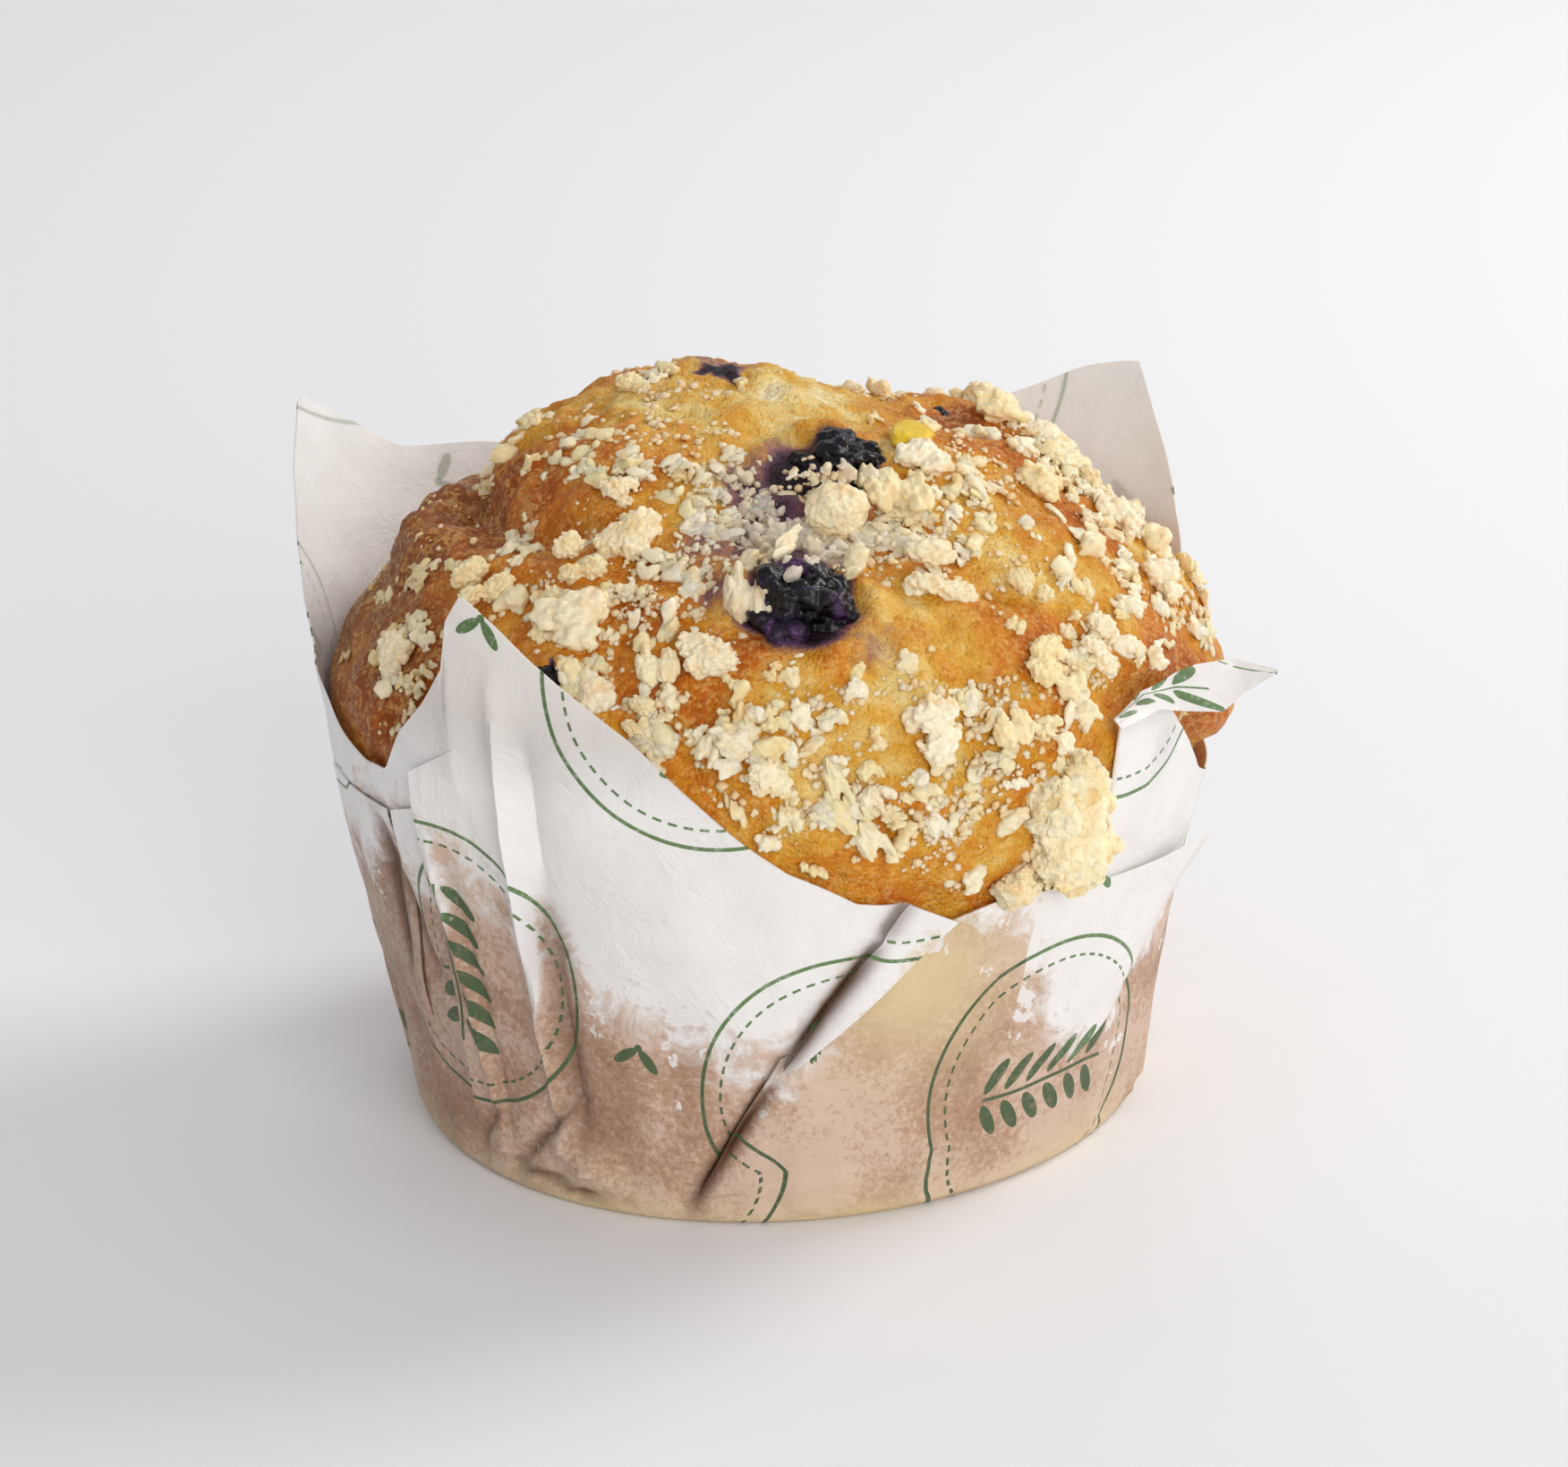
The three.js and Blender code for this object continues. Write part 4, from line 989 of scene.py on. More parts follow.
def frames_on(out, turn):
    """Turned frames: along the azimuth, up the slope and out of the crust."""
    first = np.cross([0.0, 0.0, 1.0], out)
    first = first / np.linalg.norm(first, axis=1, keepdims=True)
    second = np.cross(out, first)
    c, s = np.cos(turn)[:, None], np.sin(turn)[:, None]
    return np.stack([first * c + second * s, second * c - first * s, out], axis=1)


STREUSEL_SEED = 812

# What a row for one spot of streusel holds. SOAK is the share of the juice near it that it
# takes up.
AZIMUTH, FALL, ACROSS, ALONG, UP, RAISED, TURN, SOAK = range(8)
LUMP_SOAK = 0.15
CRUMB_SOAK = 0.9

# The side whose crumbs get painted shade: its azimuth, half width and how much darker its crumbs
# are.
DARK_SIDE = dict(azimuth=-105, half=42, toast_and_shade=0.7)


def scatter(name, shapes, spots, rng, material, tilt=0.25, toast_and_shade=0.8):
    """Copies of the shapes, set on the crust as one joined mesh."""
    spots = np.array(spots, float)
    place, out = crust(spots[:, AZIMUTH], spots[:, FALL])
    out = out + tilt * rng.normal(size=out.shape)
    out = out / np.linalg.norm(out, axis=1, keepdims=True)
    centres = place + out * spots[:, RAISED:RAISED + 1]
    axes = frames_on(out, spots[:, TURN])
    which = rng.integers(0, len(shapes), len(spots))
    tints = rng.random(len(spots))
    juice = juice_at(centres) * rng.uniform(0.4, 1.0, len(spots)) * spots[:, SOAK]
    # Painted shade: crumbs on the left side are darker, more so down the side.
    side = bump_at(turn_between(spots[:, AZIMUTH], DARK_SIDE["azimuth"]), 0, DARK_SIDE["half"])
    dark_side = DARK_SIDE["toast_and_shade"] * side * ease_in(spots[:, FALL] / 40 - 0.4)
    points, triangles, masks, count = [], [], [], 0
    for k, (shape, faces) in enumerate(shapes):
        for i in np.flatnonzero(which == k):
            points.append(centres[i] + (shape * spots[i, ACROSS:UP + 1]) @ axes[i])
            triangles.append(faces + count)
            count += len(shape)
            # Darker towards each crumb's underside, where it sits on the crust: partly toasted,
            # partly painted shade.
            low = np.clip(0.1 - shape[:, 2], 0, 0.6) * toast_and_shade + dark_side[i]
            masks.append(np.stack([np.full(len(shape), tints[i]),
                                   np.full(len(shape), juice[i]), low], axis=1))
    piece = mesh_of(name, np.concatenate(points) * MM, np.concatenate(triangles))
    paint(piece, "crumb", *np.concatenate(masks).T)
    wear(piece, material)
    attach(piece, "root")
    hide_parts("muffin")
    return piece


def solid_model_crumbs():
    """The lumps and crumbs of the solid model, drawn again at the same places."""
    draw = crumb_draws(CRUMB_SEED).__next__
    lumps, crumbs = [], []
    for azimuth, fall, across, along, up in LUMPS:
        for _ in range(LUMP["fine_points"] if across > LUMP["fine_over"] else LUMP["points"]):
            draw()
        turn = draw() * math.pi
        point, _ = crust(azimuth, fall)
        if crumb_fits(point, across):
            lumps.append((azimuth, fall, LUMP["wide"] * across, LUMP["wide"] * along,
                          LUMP["high"] * up, LUMP["raised"] * up, turn, LUMP_SOAK))
    for azimuth, fall, across, along, small, large, share in DRIFTS:
        for _ in range(round(share * CRUMB_COUNT)):
            crumb_fall = fall + (draw() + draw() + draw() - 1.5) * along / FALL_PITCH
            aside = (draw() + draw() + draw() - 1.5) * across
            aside = aside / (max(crumb_fall, 12) * FALL_PITCH)
            size = mix(small, large, draw() ** 2)
            wide = size * (0.85 + 0.4 * draw())
            long = size * (0.85 + 0.4 * draw())
            high = size * (0.75 + 0.2 * draw())
            for _ in range(CRUMB["fine_points"] if size > CRUMB["fine_over"]
                           else CRUMB["points"]):
                draw()
            turn = draw() * math.pi
            crumb_fall = min(CRUMB["lowest"], max(CRUMB["highest"], crumb_fall))
            crumb_azimuth = azimuth + math.degrees(aside)
            point, _ = crust(crumb_azimuth, crumb_fall)
            if not crumb_fits(point, size) or on_berry(point, CRUMB["over_berry"]):
                continue
            crumbs.append((crumb_azimuth, crumb_fall, CRUMB["wide"] * wide,
                           CRUMB["wide"] * long, CRUMB["high"] * high,
                           CRUMB["raised"] * size, turn, CRUMB_SOAK))
    return lumps, crumbs


# Crumbs listed one by one: azimuth, fall, size across, along, up, raised, turn, juice taken up.
HAND_CRUMBS = [
    (-13, 63, 1.9, 3.1, 1.8, 0.3, 0.2, 0), (-5, 70, 3.6, 3.2, 2.4, 0.4, 0.0, 0),
    (0, 68, 2.6, 2.4, 2.0, 0.4, 0.5, 0), (4, 67, 2.4, 3.2, 2.0, 0.3, 0.1, 0),
    (5, 73, 3.1, 1.6, 1.5, 0.4, 0.3, 0), (8, 68, 2.8, 1.8, 1.6, 0.4, 0.2, 0),
    (-1, 75, 2.8, 2.1, 1.8, 0.4, 0.0, 0), (13, 73, 2.4, 2.2, 1.9, 0.4, 0.8, 0),
    (12, 79, 2.3, 2.1, 1.7, 0.4, 0.4, 0), (8, 81, 2.1, 5.0, 1.9, 0.4, 0.35, 0),
    (8, 90, 2.0, 5.2, 1.8, 0.4, 0.45, 0), (12, 86, 2.2, 2.8, 1.9, 0.4, 0.1, 0),
    (15, 92, 2.0, 2.0, 1.7, 0.4, 0.0, 0), (12, 95, 3.0, 4.6, 2.4, 0.5, 0.5, 0),
    (18, 86, 3.0, 3.4, 2.2, 0.4, 0.9, 0), (20, 94, 2.0, 3.6, 1.6, 0.2, 0.3, 0),
    (34, 76, 2.5, 2.4, 1.9, 0.4, 0.0, 0), (43, 77, 2.9, 3.0, 2.2, 0.4, 0.3, 0),
    (2, 90, 2.9, 3.4, 2.2, 0.4, 0.2, 0), (0, 94, 3.4, 3.0, 2.2, 0.4, 0.6, 0),
    (-4, 88, 1.7, 3.6, 1.6, 0.4, 0.2, 0), (2, 83, 2.4, 2.2, 1.7, 0.4, 0.0, 0),
    (25, 104, 3.2, 2.8, 2.0, 0.4, 0.4, 0), (5, 100, 2.6, 2.2, 1.6, 0.2, 0.1, 0),
    (12, 60, 2.1, 2.2, 1.5, 0.2, 0.2, 0), (-4, 61, 2.4, 1.8, 1.6, 0.3, 0.0, 0),
    (7, 39, 2.1, 5.4, 1.9, 3.7, 0.1, 0), (17, 40, 3.6, 3.2, 2.6, 2.4, 0.4, 0.5),
    (-3, 38, 3.2, 2.8, 2.4, 1.2, 0.7, 0.6), (10, 35, 2.6, 2.4, 2.0, 1.4, 0.2, 0.6),
    (1, 33, 2.4, 3.0, 2.0, 0.8, 0.0, 0.8), (33, 24, 3.6, 3.0, 2.4, 2.2, 0.6, 0.5),
    (16, 24, 2.8, 2.4, 2.0, 1.6, 0.3, 0.8)]

# The lump that leans on the front berry, and the ball of butter between the two berries.
BESIDE_BERRY = (-2, 45, 5.0, 6.2, 4.0, 1.3, 0.1, 0.4)
ROUND_LUMP = (20.5, 27, 5.8, 5.6, 4.8, 1.7, 0.4, 0)

# Pale dough that tore open over the edge of the paper, and the bit of candied fruit, by the
# same columns.
SPILL = [(39.0, 99.5, 8.2, 10.8, 4.0, 0.5, 0.05, 0), (34.0, 107, 6.0, 3.4, 2.6, 0.5, 0.5, 0),
         (43.5, 96, 3.8, 6.0, 2.8, 0.3, 0.2, 0), (35.5, 95, 4.6, 5.0, 2.2, 0.1, 0.3, 0),
         (39.0, 91, 4.0, 3.0, 2.0, 0.2, 0.9, 0)]
FRUIT_BIT = (64, 20, 4.8, 3.4, 1.5, 0.4, 0.3, 0)

# Where streusel fell: azimuth, fall, scatter across and along in mm, how many thin crumbles
# and how many grains of sugar. Below it, the columns of those two counts and their sizes.
FALLEN = [
    (4, 70, 16, 6, 46, 170), (10, 90, 15, 5, 30, 110), (30, 82, 9, 6, 18, 80),
    (-30, 43, 9, 8, 60, 150), (-14, 47, 8, 6, 44, 110), (-24, 61, 8, 5, 34, 90),
    (6, 31, 6, 4.5, 170, 300), (2, 22, 4.5, 4.0, 130, 240), (27, 31, 3, 3, 40, 60),
    (33, 36, 6, 6, 70, 130), (48, 26, 7, 5, 60, 90), (42, 68, 11, 7, 50, 180),
    (98, 50, 21, 6, 320, 300), (80, 74, 9, 7, 80, 140), (60, 38, 9, 7, 10, 80),
    (-58, 62, 10, 10, 50, 140), (-50, 76, 8, 5, 20, 60), (-62, 20, 7, 4, 40, 150),
    (-84, 11, 5, 3, 10, 70), (-150, 14, 10, 8, 24, 90), (178, 48, 36, 13, 220, 260),
    (-122, 38, 18, 12, 60, 110), (41, 98, 7, 5, 16, 20), (110, 36, 9, 6, 90, 80),
    (24, 60, 16, 9, 8, 110), (-95, 60, 16, 12, 14, 90), (92, 54, 14, 4, 200, 120),
    (104, 44, 9, 4, 120, 60), (22, 94, 5, 4, 6, 200), (26, 68, 14, 8, 0, 90)]

# Crust left bare between them: azimuth, fall, reach in mm.
BARE = [
    (66, 50, 6.0), (27, 57, 5.0), (62, 66, 3.5), (45, 57, 4.0), (14, 57, 4.0), (-72, 34, 4.0),
    (-10, 58, 2.5), (78, 48, 5.0), (84, 60, 4.0), (-90, 55, 4.0), (41, 97, 6.0), (28, 100, 3.5),
    (63, 20, 3.6), (109, 28, 3.0)]


CRUMBLES = dict(column=4, small=0.9, large=2.6, company=6)
GRAINS = dict(column=5, small=0.35, large=1.15, company=7)

# How crumbs fall: spread of the companies over their zone, reach of a company in mm, the share
# that strays on bare crust, how far a crumb stands out as a share of its size, the share of
# juice it takes up on a berry, and the highest and lowest fall.
STREWN = dict(spread=0.62, reach=1.1, stray=0.12, raised=0.14, berry_soak=0.55, top=3, foot=107)


def fallen_spots(rng, column, small, large, company):
    """Spots strewn in little companies, as crumbs fall, over the zones above."""
    spots = []
    for zone in FALLEN:
        azimuth, fall, across, along = zone[:4]
        count = zone[column]
        heads = rng.normal(size=(max(1, count // company), 2)) * STREWN["spread"]
        heads = heads * (across, along)
        mine = heads[rng.integers(0, len(heads), count)]
        mine = mine + rng.normal(size=(count, 2)) * STREWN["reach"]
        size = mix(small, large, rng.random(count) ** 2.0)
        falls = np.clip(fall + mine[:, 1] / FALL_PITCH, STREWN["top"], STREWN["foot"])
        azimuths = azimuth + np.degrees(mine[:, 0] / (np.maximum(falls, 12) * FALL_PITCH))
        point, _ = crust(azimuths, falls)
        lifted = berry_cover(point)
        keep = crumb_fits(point, size) & ~np.isnan(lifted)
        for b_azimuth, b_fall, reach in BARE:
            centre, _ = crust(b_azimuth, b_fall)
            clear = np.linalg.norm(point - centre, axis=1) > reach
            keep &= clear | (rng.random(count) < STREWN["stray"])
        shape = size[:, None] * rng.uniform([0.8, 0.8, 0.45], [1.25, 1.25, 0.8], (count, 3))
        turns = rng.uniform(0, math.pi, count)
        for i in np.flatnonzero(keep):
            raised = STREWN["raised"] * size[i] + max(0, lifted[i])
            spots.append((azimuths[i], falls[i], *shape[i], raised, turns[i],
                          1.0 if lifted[i] == 0 else STREWN["berry_soak"]))
    return spots


def streusel():
    """Everything loose on the crust, from the pressed lumps down to the sugar."""
    rng = np.random.default_rng(STREUSEL_SEED)
    cream = streusel_material("butter_streusel", "#FFF3D8", "#F8E4AE", "#EFC47C", 0.45)
    clear = streusel_material("melting_sugar_grains", "#FBE8C6", "#F4D09A", "#EDBB74", 0.28)
    dough = streusel_material("torn_cake_crumb", "#FFF1CC", "#FCE6B2", "#F3CE88", 0.75)
    bit = streusel_material("candied_fruit", "#F4D43A", "#EFC520", "#E6AE18", 0.45)
    lumps, crumbs = solid_model_crumbs()
    knobs = [pressed(rng, f"knob_{k}", core=0.62, granules=420, sizes=(0.05, 0.14), flat=0.75,
                     voxel=0.023, faces=5800) for k in range(5)]
    knobs += [pressed(rng, f"cluster_{k}", core=0.3, granules=330, sizes=(0.06, 0.17), flat=0.7,
                      voxel=0.023, faces=5800) for k in range(4)]
    scatter("streusel_lumps", knobs, lumps[1:] + [BESIDE_BERRY], rng, cream, tilt=0.1)

    butter = granular(rng, granules=420, heights=(0.0, 0.06), widths=(0.002, 0.010))
    butter_ball = scatter("streusel_ball", [butter], [ROUND_LUMP], rng, cream, tilt=0.0,
                          toast_and_shade=0.0)
    roughen(butter_ball, relief_texture("CLOUDS", 1.4, noise_depth=1), 0.9)
    roughen(butter_ball, relief_texture("CLOUDS", 0.5, noise_depth=1), 0.3)

    bits = [pressed(rng, f"bit_{k}", core=0.35 + 0.2 * (k % 2), granules=60, sizes=(0.11, 0.28),
                    flat=0.75, voxel=0.048, faces=1000) for k in range(10)]
    loose = scatter("streusel_crumbs", bits, crumbs + HAND_CRUMBS, rng, cream, tilt=0.15)
    smooth(loose, angle=38)

    thin = [pressed(rng, f"crumble_{k}", core=0.0, granules=12, sizes=(0.26, 0.5), flat=0.8,
                    voxel=0.1, faces=64) for k in range(12)]
    crumbles = scatter("streusel_crumbles", thin, fallen_spots(rng, **CRUMBLES), rng, cream)
    smooth(crumbles, angle=55)

    grains = [crystal(rng, subdivisions=1, roughness=0.5) for _ in range(12)]
    smooth(scatter("sugar_grains", grains, fallen_spots(rng, **GRAINS), rng, clear, toast_and_shade=0.6))

    torn = [granular(rng, granules=620, heights=(0.02, 0.18), widths=(0.0008, 0.016), boxy=3.0)
            for _ in range(3)]
    spilled = scatter("spilled_dough", torn, SPILL, rng, dough, tilt=0.0, toast_and_shade=0.3)
    roughen(spilled, relief_texture("CLOUDS", 2.8, noise_depth=1), 2.6)
    roughen(spilled, relief_texture("VORONOI", 1.3), 0.8)
    roughen(spilled, relief_texture("CLOUDS", 0.6, noise_depth=2), 0.7)

    fruit = granular(rng, granules=30, heights=(0.05, 0.3), widths=(0.02, 0.12), boxy=4.0)
    smooth(scatter("fruit_bit", [fruit], [FRUIT_BIT], rng, bit, tilt=0.0))


# ------------------------------------------------------------------ berries


# Where the baked skin differs from the whole berry of the solid model: its share across,
# along and up, how far it moved right and how far it sank, in mm.
SHRUNK = {"berry_front": ((0.84, 0.82, 0.9), 0.2, 0.6),
          "berry_middle": ((0.68, 0.80, 0.9), 2.0, 0.6),
          "berry_back": ((0.9, 0.42, 0.7), 0.3, 0.6),
          "berry_right": ((0.26, 1.1, 0.6), 0.0, 1.0),
          "berry_left": ((0.9, 0.9, 0.9), 0.0, 0.2)}


def berries():
    skin = berry_material()
    for name, azimuth, fall, size, sunk in BERRIES:
        shrunk, aside, lower = SHRUNK[name]
        deselect()
        bpy.ops.mesh.primitive_ico_sphere_add(subdivisions=6, radius=0.5)
        berry = name_new(f"{name}_skin")
        point, out = crust(azimuth, fall)
        axes = frames_on(out[None, :], np.radians([azimuth]))[0]
        centre = point - out * (size[2] * (sunk - 0.5) + lower) + axes[0] * aside
        round_one = points_of(berry)
        move_points(berry, (centre + (round_one * size * np.array(shrunk)) @ axes) * MM)
        roughen(berry, relief_texture("CLOUDS", 3.4, noise_depth=1), 3.0 * size[0] / 12)
        roughen(berry, relief_texture("VORONOI", 2.2), -1.5 * size[0] / 12)
        roughen(berry, relief_texture("CLOUDS", 0.9, noise_depth=2), 0.6)
        smooth(berry)
        wear(berry, skin)
        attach(berry, "root")
        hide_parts(name)


# ------------------------------------------------------------------ the paper case

SHEET = 0.16                 # thickness of the paper as drawn
PETALS = (-119.0, -38.0, 55.0, 130.0)

# Where the butter stops rising in the paper: azimuth, height.
GREASE_LINE = [
    (-180, 34), (-130, 34), (-100, 30), (-75, 33), (-60, 37), (-52, 37), (-40, 35),
    (-36, 32), (-29, 28), (-24, 23), (-12, 19), (-3, 17), (2, 18), (13, 29), (20, 35),
    (27, 31), (38, 28), (41, 24), (46, 19), (56, 16), (66, 18), (76, 26), (90, 30),
    (130, 34), (180, 34)]

# Creases of the wall: from (azimuth, height), to, height (a valley is negative), width,
# how dark it reads: painted shade along the crease, with some grease stain in it; less than
# 0 where its ridge is painted pale, as unstained paper and a painted highlight.
CREASES = [
    ((-14.5, 1.0), (-0.3, 16.3), -1.4, 0.8, 1.0), ((-0.3, 16.3), (13.5, 30.0), -1.4, 0.9, 1.0),
    ((13.5, 30.0), (17.3, 34.0), -0.9, 1.0, 0.5), ((-18.5, 2.0), (-4.5, 17.0), 0.45, 1.6, 0.0),
    ((-33.0, 6.0), (-33.6, 22.0), 1.7, 0.8, 0.0),
    ((-33.6, 18.0), (-34.5, 56.0), 1.8, 0.8, -1.0),
    ((-29.8, 6.0), (-30.6, 34.0), -1.2, 1.6, 0.6),
    ((-30.6, 34.0), (-31.0, 50.0), -1.2, 1.6, 0.0),
    ((-41.0, 42.0), (-42.0, 58.0), 0.8, 2.4, 0.0),
    ((-44.5, 5.0), (-48.0, 38.0), 1.0, 0.6, -0.5),
    ((-43.0, 5.0), (-45.5, 36.0), -0.7, 1.0, 0.25),
    ((-54.5, 20.0), (-58.5, 34.0), -1.2, 1.2, 0.7),
    ((-62.0, 18.0), (-61.0, 37.0), -1.5, 1.5, 1.0),
    ((-44.0, 26.0), (-38.0, 20.0), 0.5, 0.5, -0.6),
    ((-60.0, 6.0), (-62.0, 36.0), 0.5, 1.4, 0.0), ((-68.0, 4.0), (-66.0, 30.0), -0.6, 1.5, 0.1),
    ((-80.0, 5.0), (-84.0, 40.0), 0.6, 1.6, 0.0), ((52.0, 14.0), (76.0, 28.0), -0.6, 1.2, 0.1),
    ((-78.0, 0.5), (-78.0, 15.0), -0.8, 0.6, 0.5), ((-20.0, 1.5), (-38.0, 8.0), 1.2, 0.9, 0.0),
    ((-44.0, 1.5), (-29.0, 12.0), -1.6, 0.8, 0.6), ((-48.0, 5.0), (-36.0, 2.0), 1.1, 0.8, 0.0),
    ((-26.0, 1.2), (-44.0, 3.6), -1.2, 0.7, 0.8), ((-34.0, 1.0), (-27.0, 6.0), 1.0, 0.6, 0.0),
    ((-52.0, 2.0), (-44.0, 9.0), -1.1, 0.9, 0.5), ((-12.0, 3.6), (14.0, 4.4), 0.28, 0.8, 0.0),
    ((14.0, 4.4), (44.0, 3.0), 0.30, 0.8, 0.0), ((-10.0, 3.0), (-2.0, 9.0), 0.35, 0.9, 0.0),
    ((26.0, 4.0), (31.0, 13.0), 0.25, 1.6, 0.0), ((30.0, 18.0), (33.0, 30.0), -0.3, 2.0, 0.0),
    ((66.0, 4.0), (72.0, 22.0), 0.4, 1.4, 0.0), ((88.0, 3.0), (92.0, 32.0), -0.6, 1.6, 0.1),
    ((118.0, 4.0), (124.0, 50.0), 0.5, 1.8, 0.0), ((150.0, 4.0), (146.0, 52.0), -0.6, 1.8, 0.1),
    ((-110.0, 4.0), (-116.0, 58.0), 0.6, 1.8, 0.0),
    ((-137.0, 4.0), (-135.0, 50.0), -0.6, 1.8, 0.1),
    ((-165.0, 4.0), (-168.0, 46.0), 0.5, 1.8, 0.0), ((56.0, 30.0), (53.5, 46.0), 0.3, 1.2, 0.0),
    ((-58.0, 30.0), (-50.0, 38.0), 0.4, 0.9, 0.0)]


def creases_at(azimuth, z):
    """Relief of the creases in mm, how dark each reads (painted shade, with some grease
    stain), and how pale its ridge is painted (unstained paper and a painted highlight).
    """
    relief, dark, dry = 0.0, 0.0, 0.0
    for (a0, z0), (a1, z1), height, width, darkness in CREASES:
        radius = math.radians(round_wall(0.5 * (z0 + z1)))
        run_x, run_y = (a1 - a0) * radius, z1 - z0
        x, y = turn_between(azimuth, a0) * radius, z - z0
        along = np.clip((x * run_x + y * run_y) / (run_x**2 + run_y**2), 0.0, 1.0)
        away = np.hypot(x - along * run_x, y - along * run_y)
        fade = np.sqrt(np.clip(5 * along * (1 - along), 0.04, 1))
        relief = relief + height * fade * np.exp(-away / width)
        mark = darkness * fade * np.exp(-((away / width) ** 2))
        dark, dry = np.maximum(dark, mark), np.maximum(dry, -mark)
    return relief, dark, dry


def cockling(azimuth, z):
    """Soft buckles of a sheet that was pressed into a round tin: strongest at the foot."""
    a = np.radians(azimuth)
    foot = np.exp(-z / 9.0)
    gathers = 0.45 * foot * np.sin(31 * a + 2.0 * np.sin(5 * a)) * np.sin(13 * a + 1.0)
    broad = 0.22 * np.sin(9 * a + 0.12 * z + 1.7 * np.sin(3 * a)) * np.sin(0.11 * z + 4 * a)
    fine = 0.10 * np.sin(23 * a - 0.33 * z) * np.sin(0.41 * z + 7 * a)
    return gathers + broad + fine


def wall_point(azimuth, z, lift=0.0):
    still = np.clip(z / 1.5, 0, 1)
    relief = (creases_at(azimuth, z)[0] + cockling(azimuth, z)) * still
    return polar(azimuth, case_radius(azimuth, z) - 0.5 * SHEET + relief + lift, z)


def sheet_place(azimuth, reach, petal):
    """Where a point of the case lies on the flat sheet, seen from one petal's middle line."""
    aside = np.radians(turn_between(azimuth, petal)) * np.minimum(reach, CASE["base"] + 6)
    a = math.radians(petal)
    x = reach * math.sin(a) + aside * math.cos(a)
    y = -reach * math.cos(a) + aside * math.sin(a)
    return np.stack([x, y], -1)


def nearest_petal(azimuth, z):
    """The petal whose paper this is. The front fold slants, so the border does too."""
    borders = (-78.0, 4.0 + 0.75 * (z - 17.0), 114.0, 168.0)
    petal = np.full(np.shape(azimuth), PETALS[0])
    for border, value in zip(borders, PETALS[1:] + PETALS[:1]):
        petal = np.where(azimuth > border, value, petal)
    return petal


def map_sheet(piece, azimuth, z, reach, petal=None):
    """Fills the piece's own map with millimetres of the flat sheet, a face at a time."""
    mesh = piece.data
    layer = mesh.uv_layers.new(name="sheet")
    corners = np.empty(len(mesh.loops), np.int32)
    mesh.loops.foreach_get("vertex_index", corners)
    sizes = np.empty(len(mesh.polygons), np.int32)
    mesh.polygons.foreach_get("loop_total", sizes)
    starts = np.concatenate([[0], np.cumsum(sizes)[:-1]])
    first = corners[starts]
    face_petal = (nearest_petal(azimuth[first], z[first]) if petal is None
                  else np.full(len(first), petal))
    of_corner = np.repeat(face_petal, sizes)
    places = np.empty((len(corners), 2))
    for value in np.unique(of_corner):
        chosen = of_corner == value
        where = corners[chosen]
        places[chosen] = sheet_place(azimuth[where], reach[where], value)
    layer.data.foreach_set("uv", places.astype(np.float32).ravel())


# The grease: over how many mm it thins out, and how much less a ridge holds, so that it is
# painted pale: unstained paper and a painted highlight. Then the painted shade of the left
# side: azimuth, half width, strength, below which height and over how many mm. Then the
# yellow butter: up to what height at the foot, and a patch at the front of an azimuth, half
# width, height, half height and strength.
GREASE = dict(thins=30.0, ridge=0.6)
LEFT_SHADE = dict(azimuth=-75, half=34, dark=0.24, below=34, over=10)
BUTTER = dict(foot=1.9, azimuth=19, half=13, height=25, half_height=9, yellow=0.85)


def paint_grease_and_shade(piece, azimuth, z, dry=0.0):
    """Paints how far butter soaked in (0.5 at its edge), less on ridges painted pale as unstained
    paper and a painted highlight, how dark the paper is painted (painted shade in the creases,
    with some grease stain, and low on the left side) and how yellow the butter left it. dry is
    how much less this sheet took up."""
    line = read_table(GREASE_LINE, turn_between(azimuth, 0))
    _, dark, ridge = creases_at(azimuth, z)
    # Painted shade: the left side of the paper is darkened low down.
    side = bump_at(turn_between(azimuth, LEFT_SHADE["azimuth"]), 0, LEFT_SHADE["half"])
    low = ease_in((LEFT_SHADE["below"] - z) / LEFT_SHADE["over"])
    dark = np.maximum(dark, LEFT_SHADE["dark"] * side * low)
    # Ridges soak less, so they are painted pale: unstained paper and a painted highlight.
    soak = 0.5 + (line - z) / GREASE["thins"] - dry - GREASE["ridge"] * ridge
    foot = (0.75 + 0.25 * np.sin(np.radians(azimuth) * 9)) * np.exp(-z / BUTTER["foot"])
    patch = bump_at(turn_between(azimuth, BUTTER["azimuth"]), 0, BUTTER["half"])
    patch = BUTTER["yellow"] * patch * bump_at(z, BUTTER["height"], BUTTER["half_height"])
    paint(piece, "grease", soak, dark, foot + patch)


def flat_grid(name, columns, rows):
    """A sheet of paper as a grid. Returns the piece and its places, 0 to 1 both ways."""
    deselect()
    bpy.ops.mesh.primitive_grid_add(x_subdivisions=columns, y_subdivisions=rows, size=1.0)
    piece = name_new(name)
    grid = points_of(piece) + 0.5
    return piece, grid[:, 0], grid[:, 1]


def thicken(piece, paper):
    """Gives the sheet its thickness. The inside takes the second material."""
    wear(piece, *paper)
    finish_with(piece, "SOLIDIFY", thickness=SHEET * MM, offset=0.0, material_offset=1,
                material_offset_rim=0)
    smooth(piece, 50)


# The grid of the wall's sheet: columns and rows, how much closer the columns stand at the
# front in degrees, the share of the rows on the base and down to the top of the foot, how
# much closer the rows are low down, and the ripple of the free edge: how many, how high in
# mm, and how far below the solid model's edge.
WALL = dict(columns=400, rows=96, closer=22.0, base=0.10, foot=0.14, lower=0.92, ripples=17,
            ripple=0.25, below=0.1)


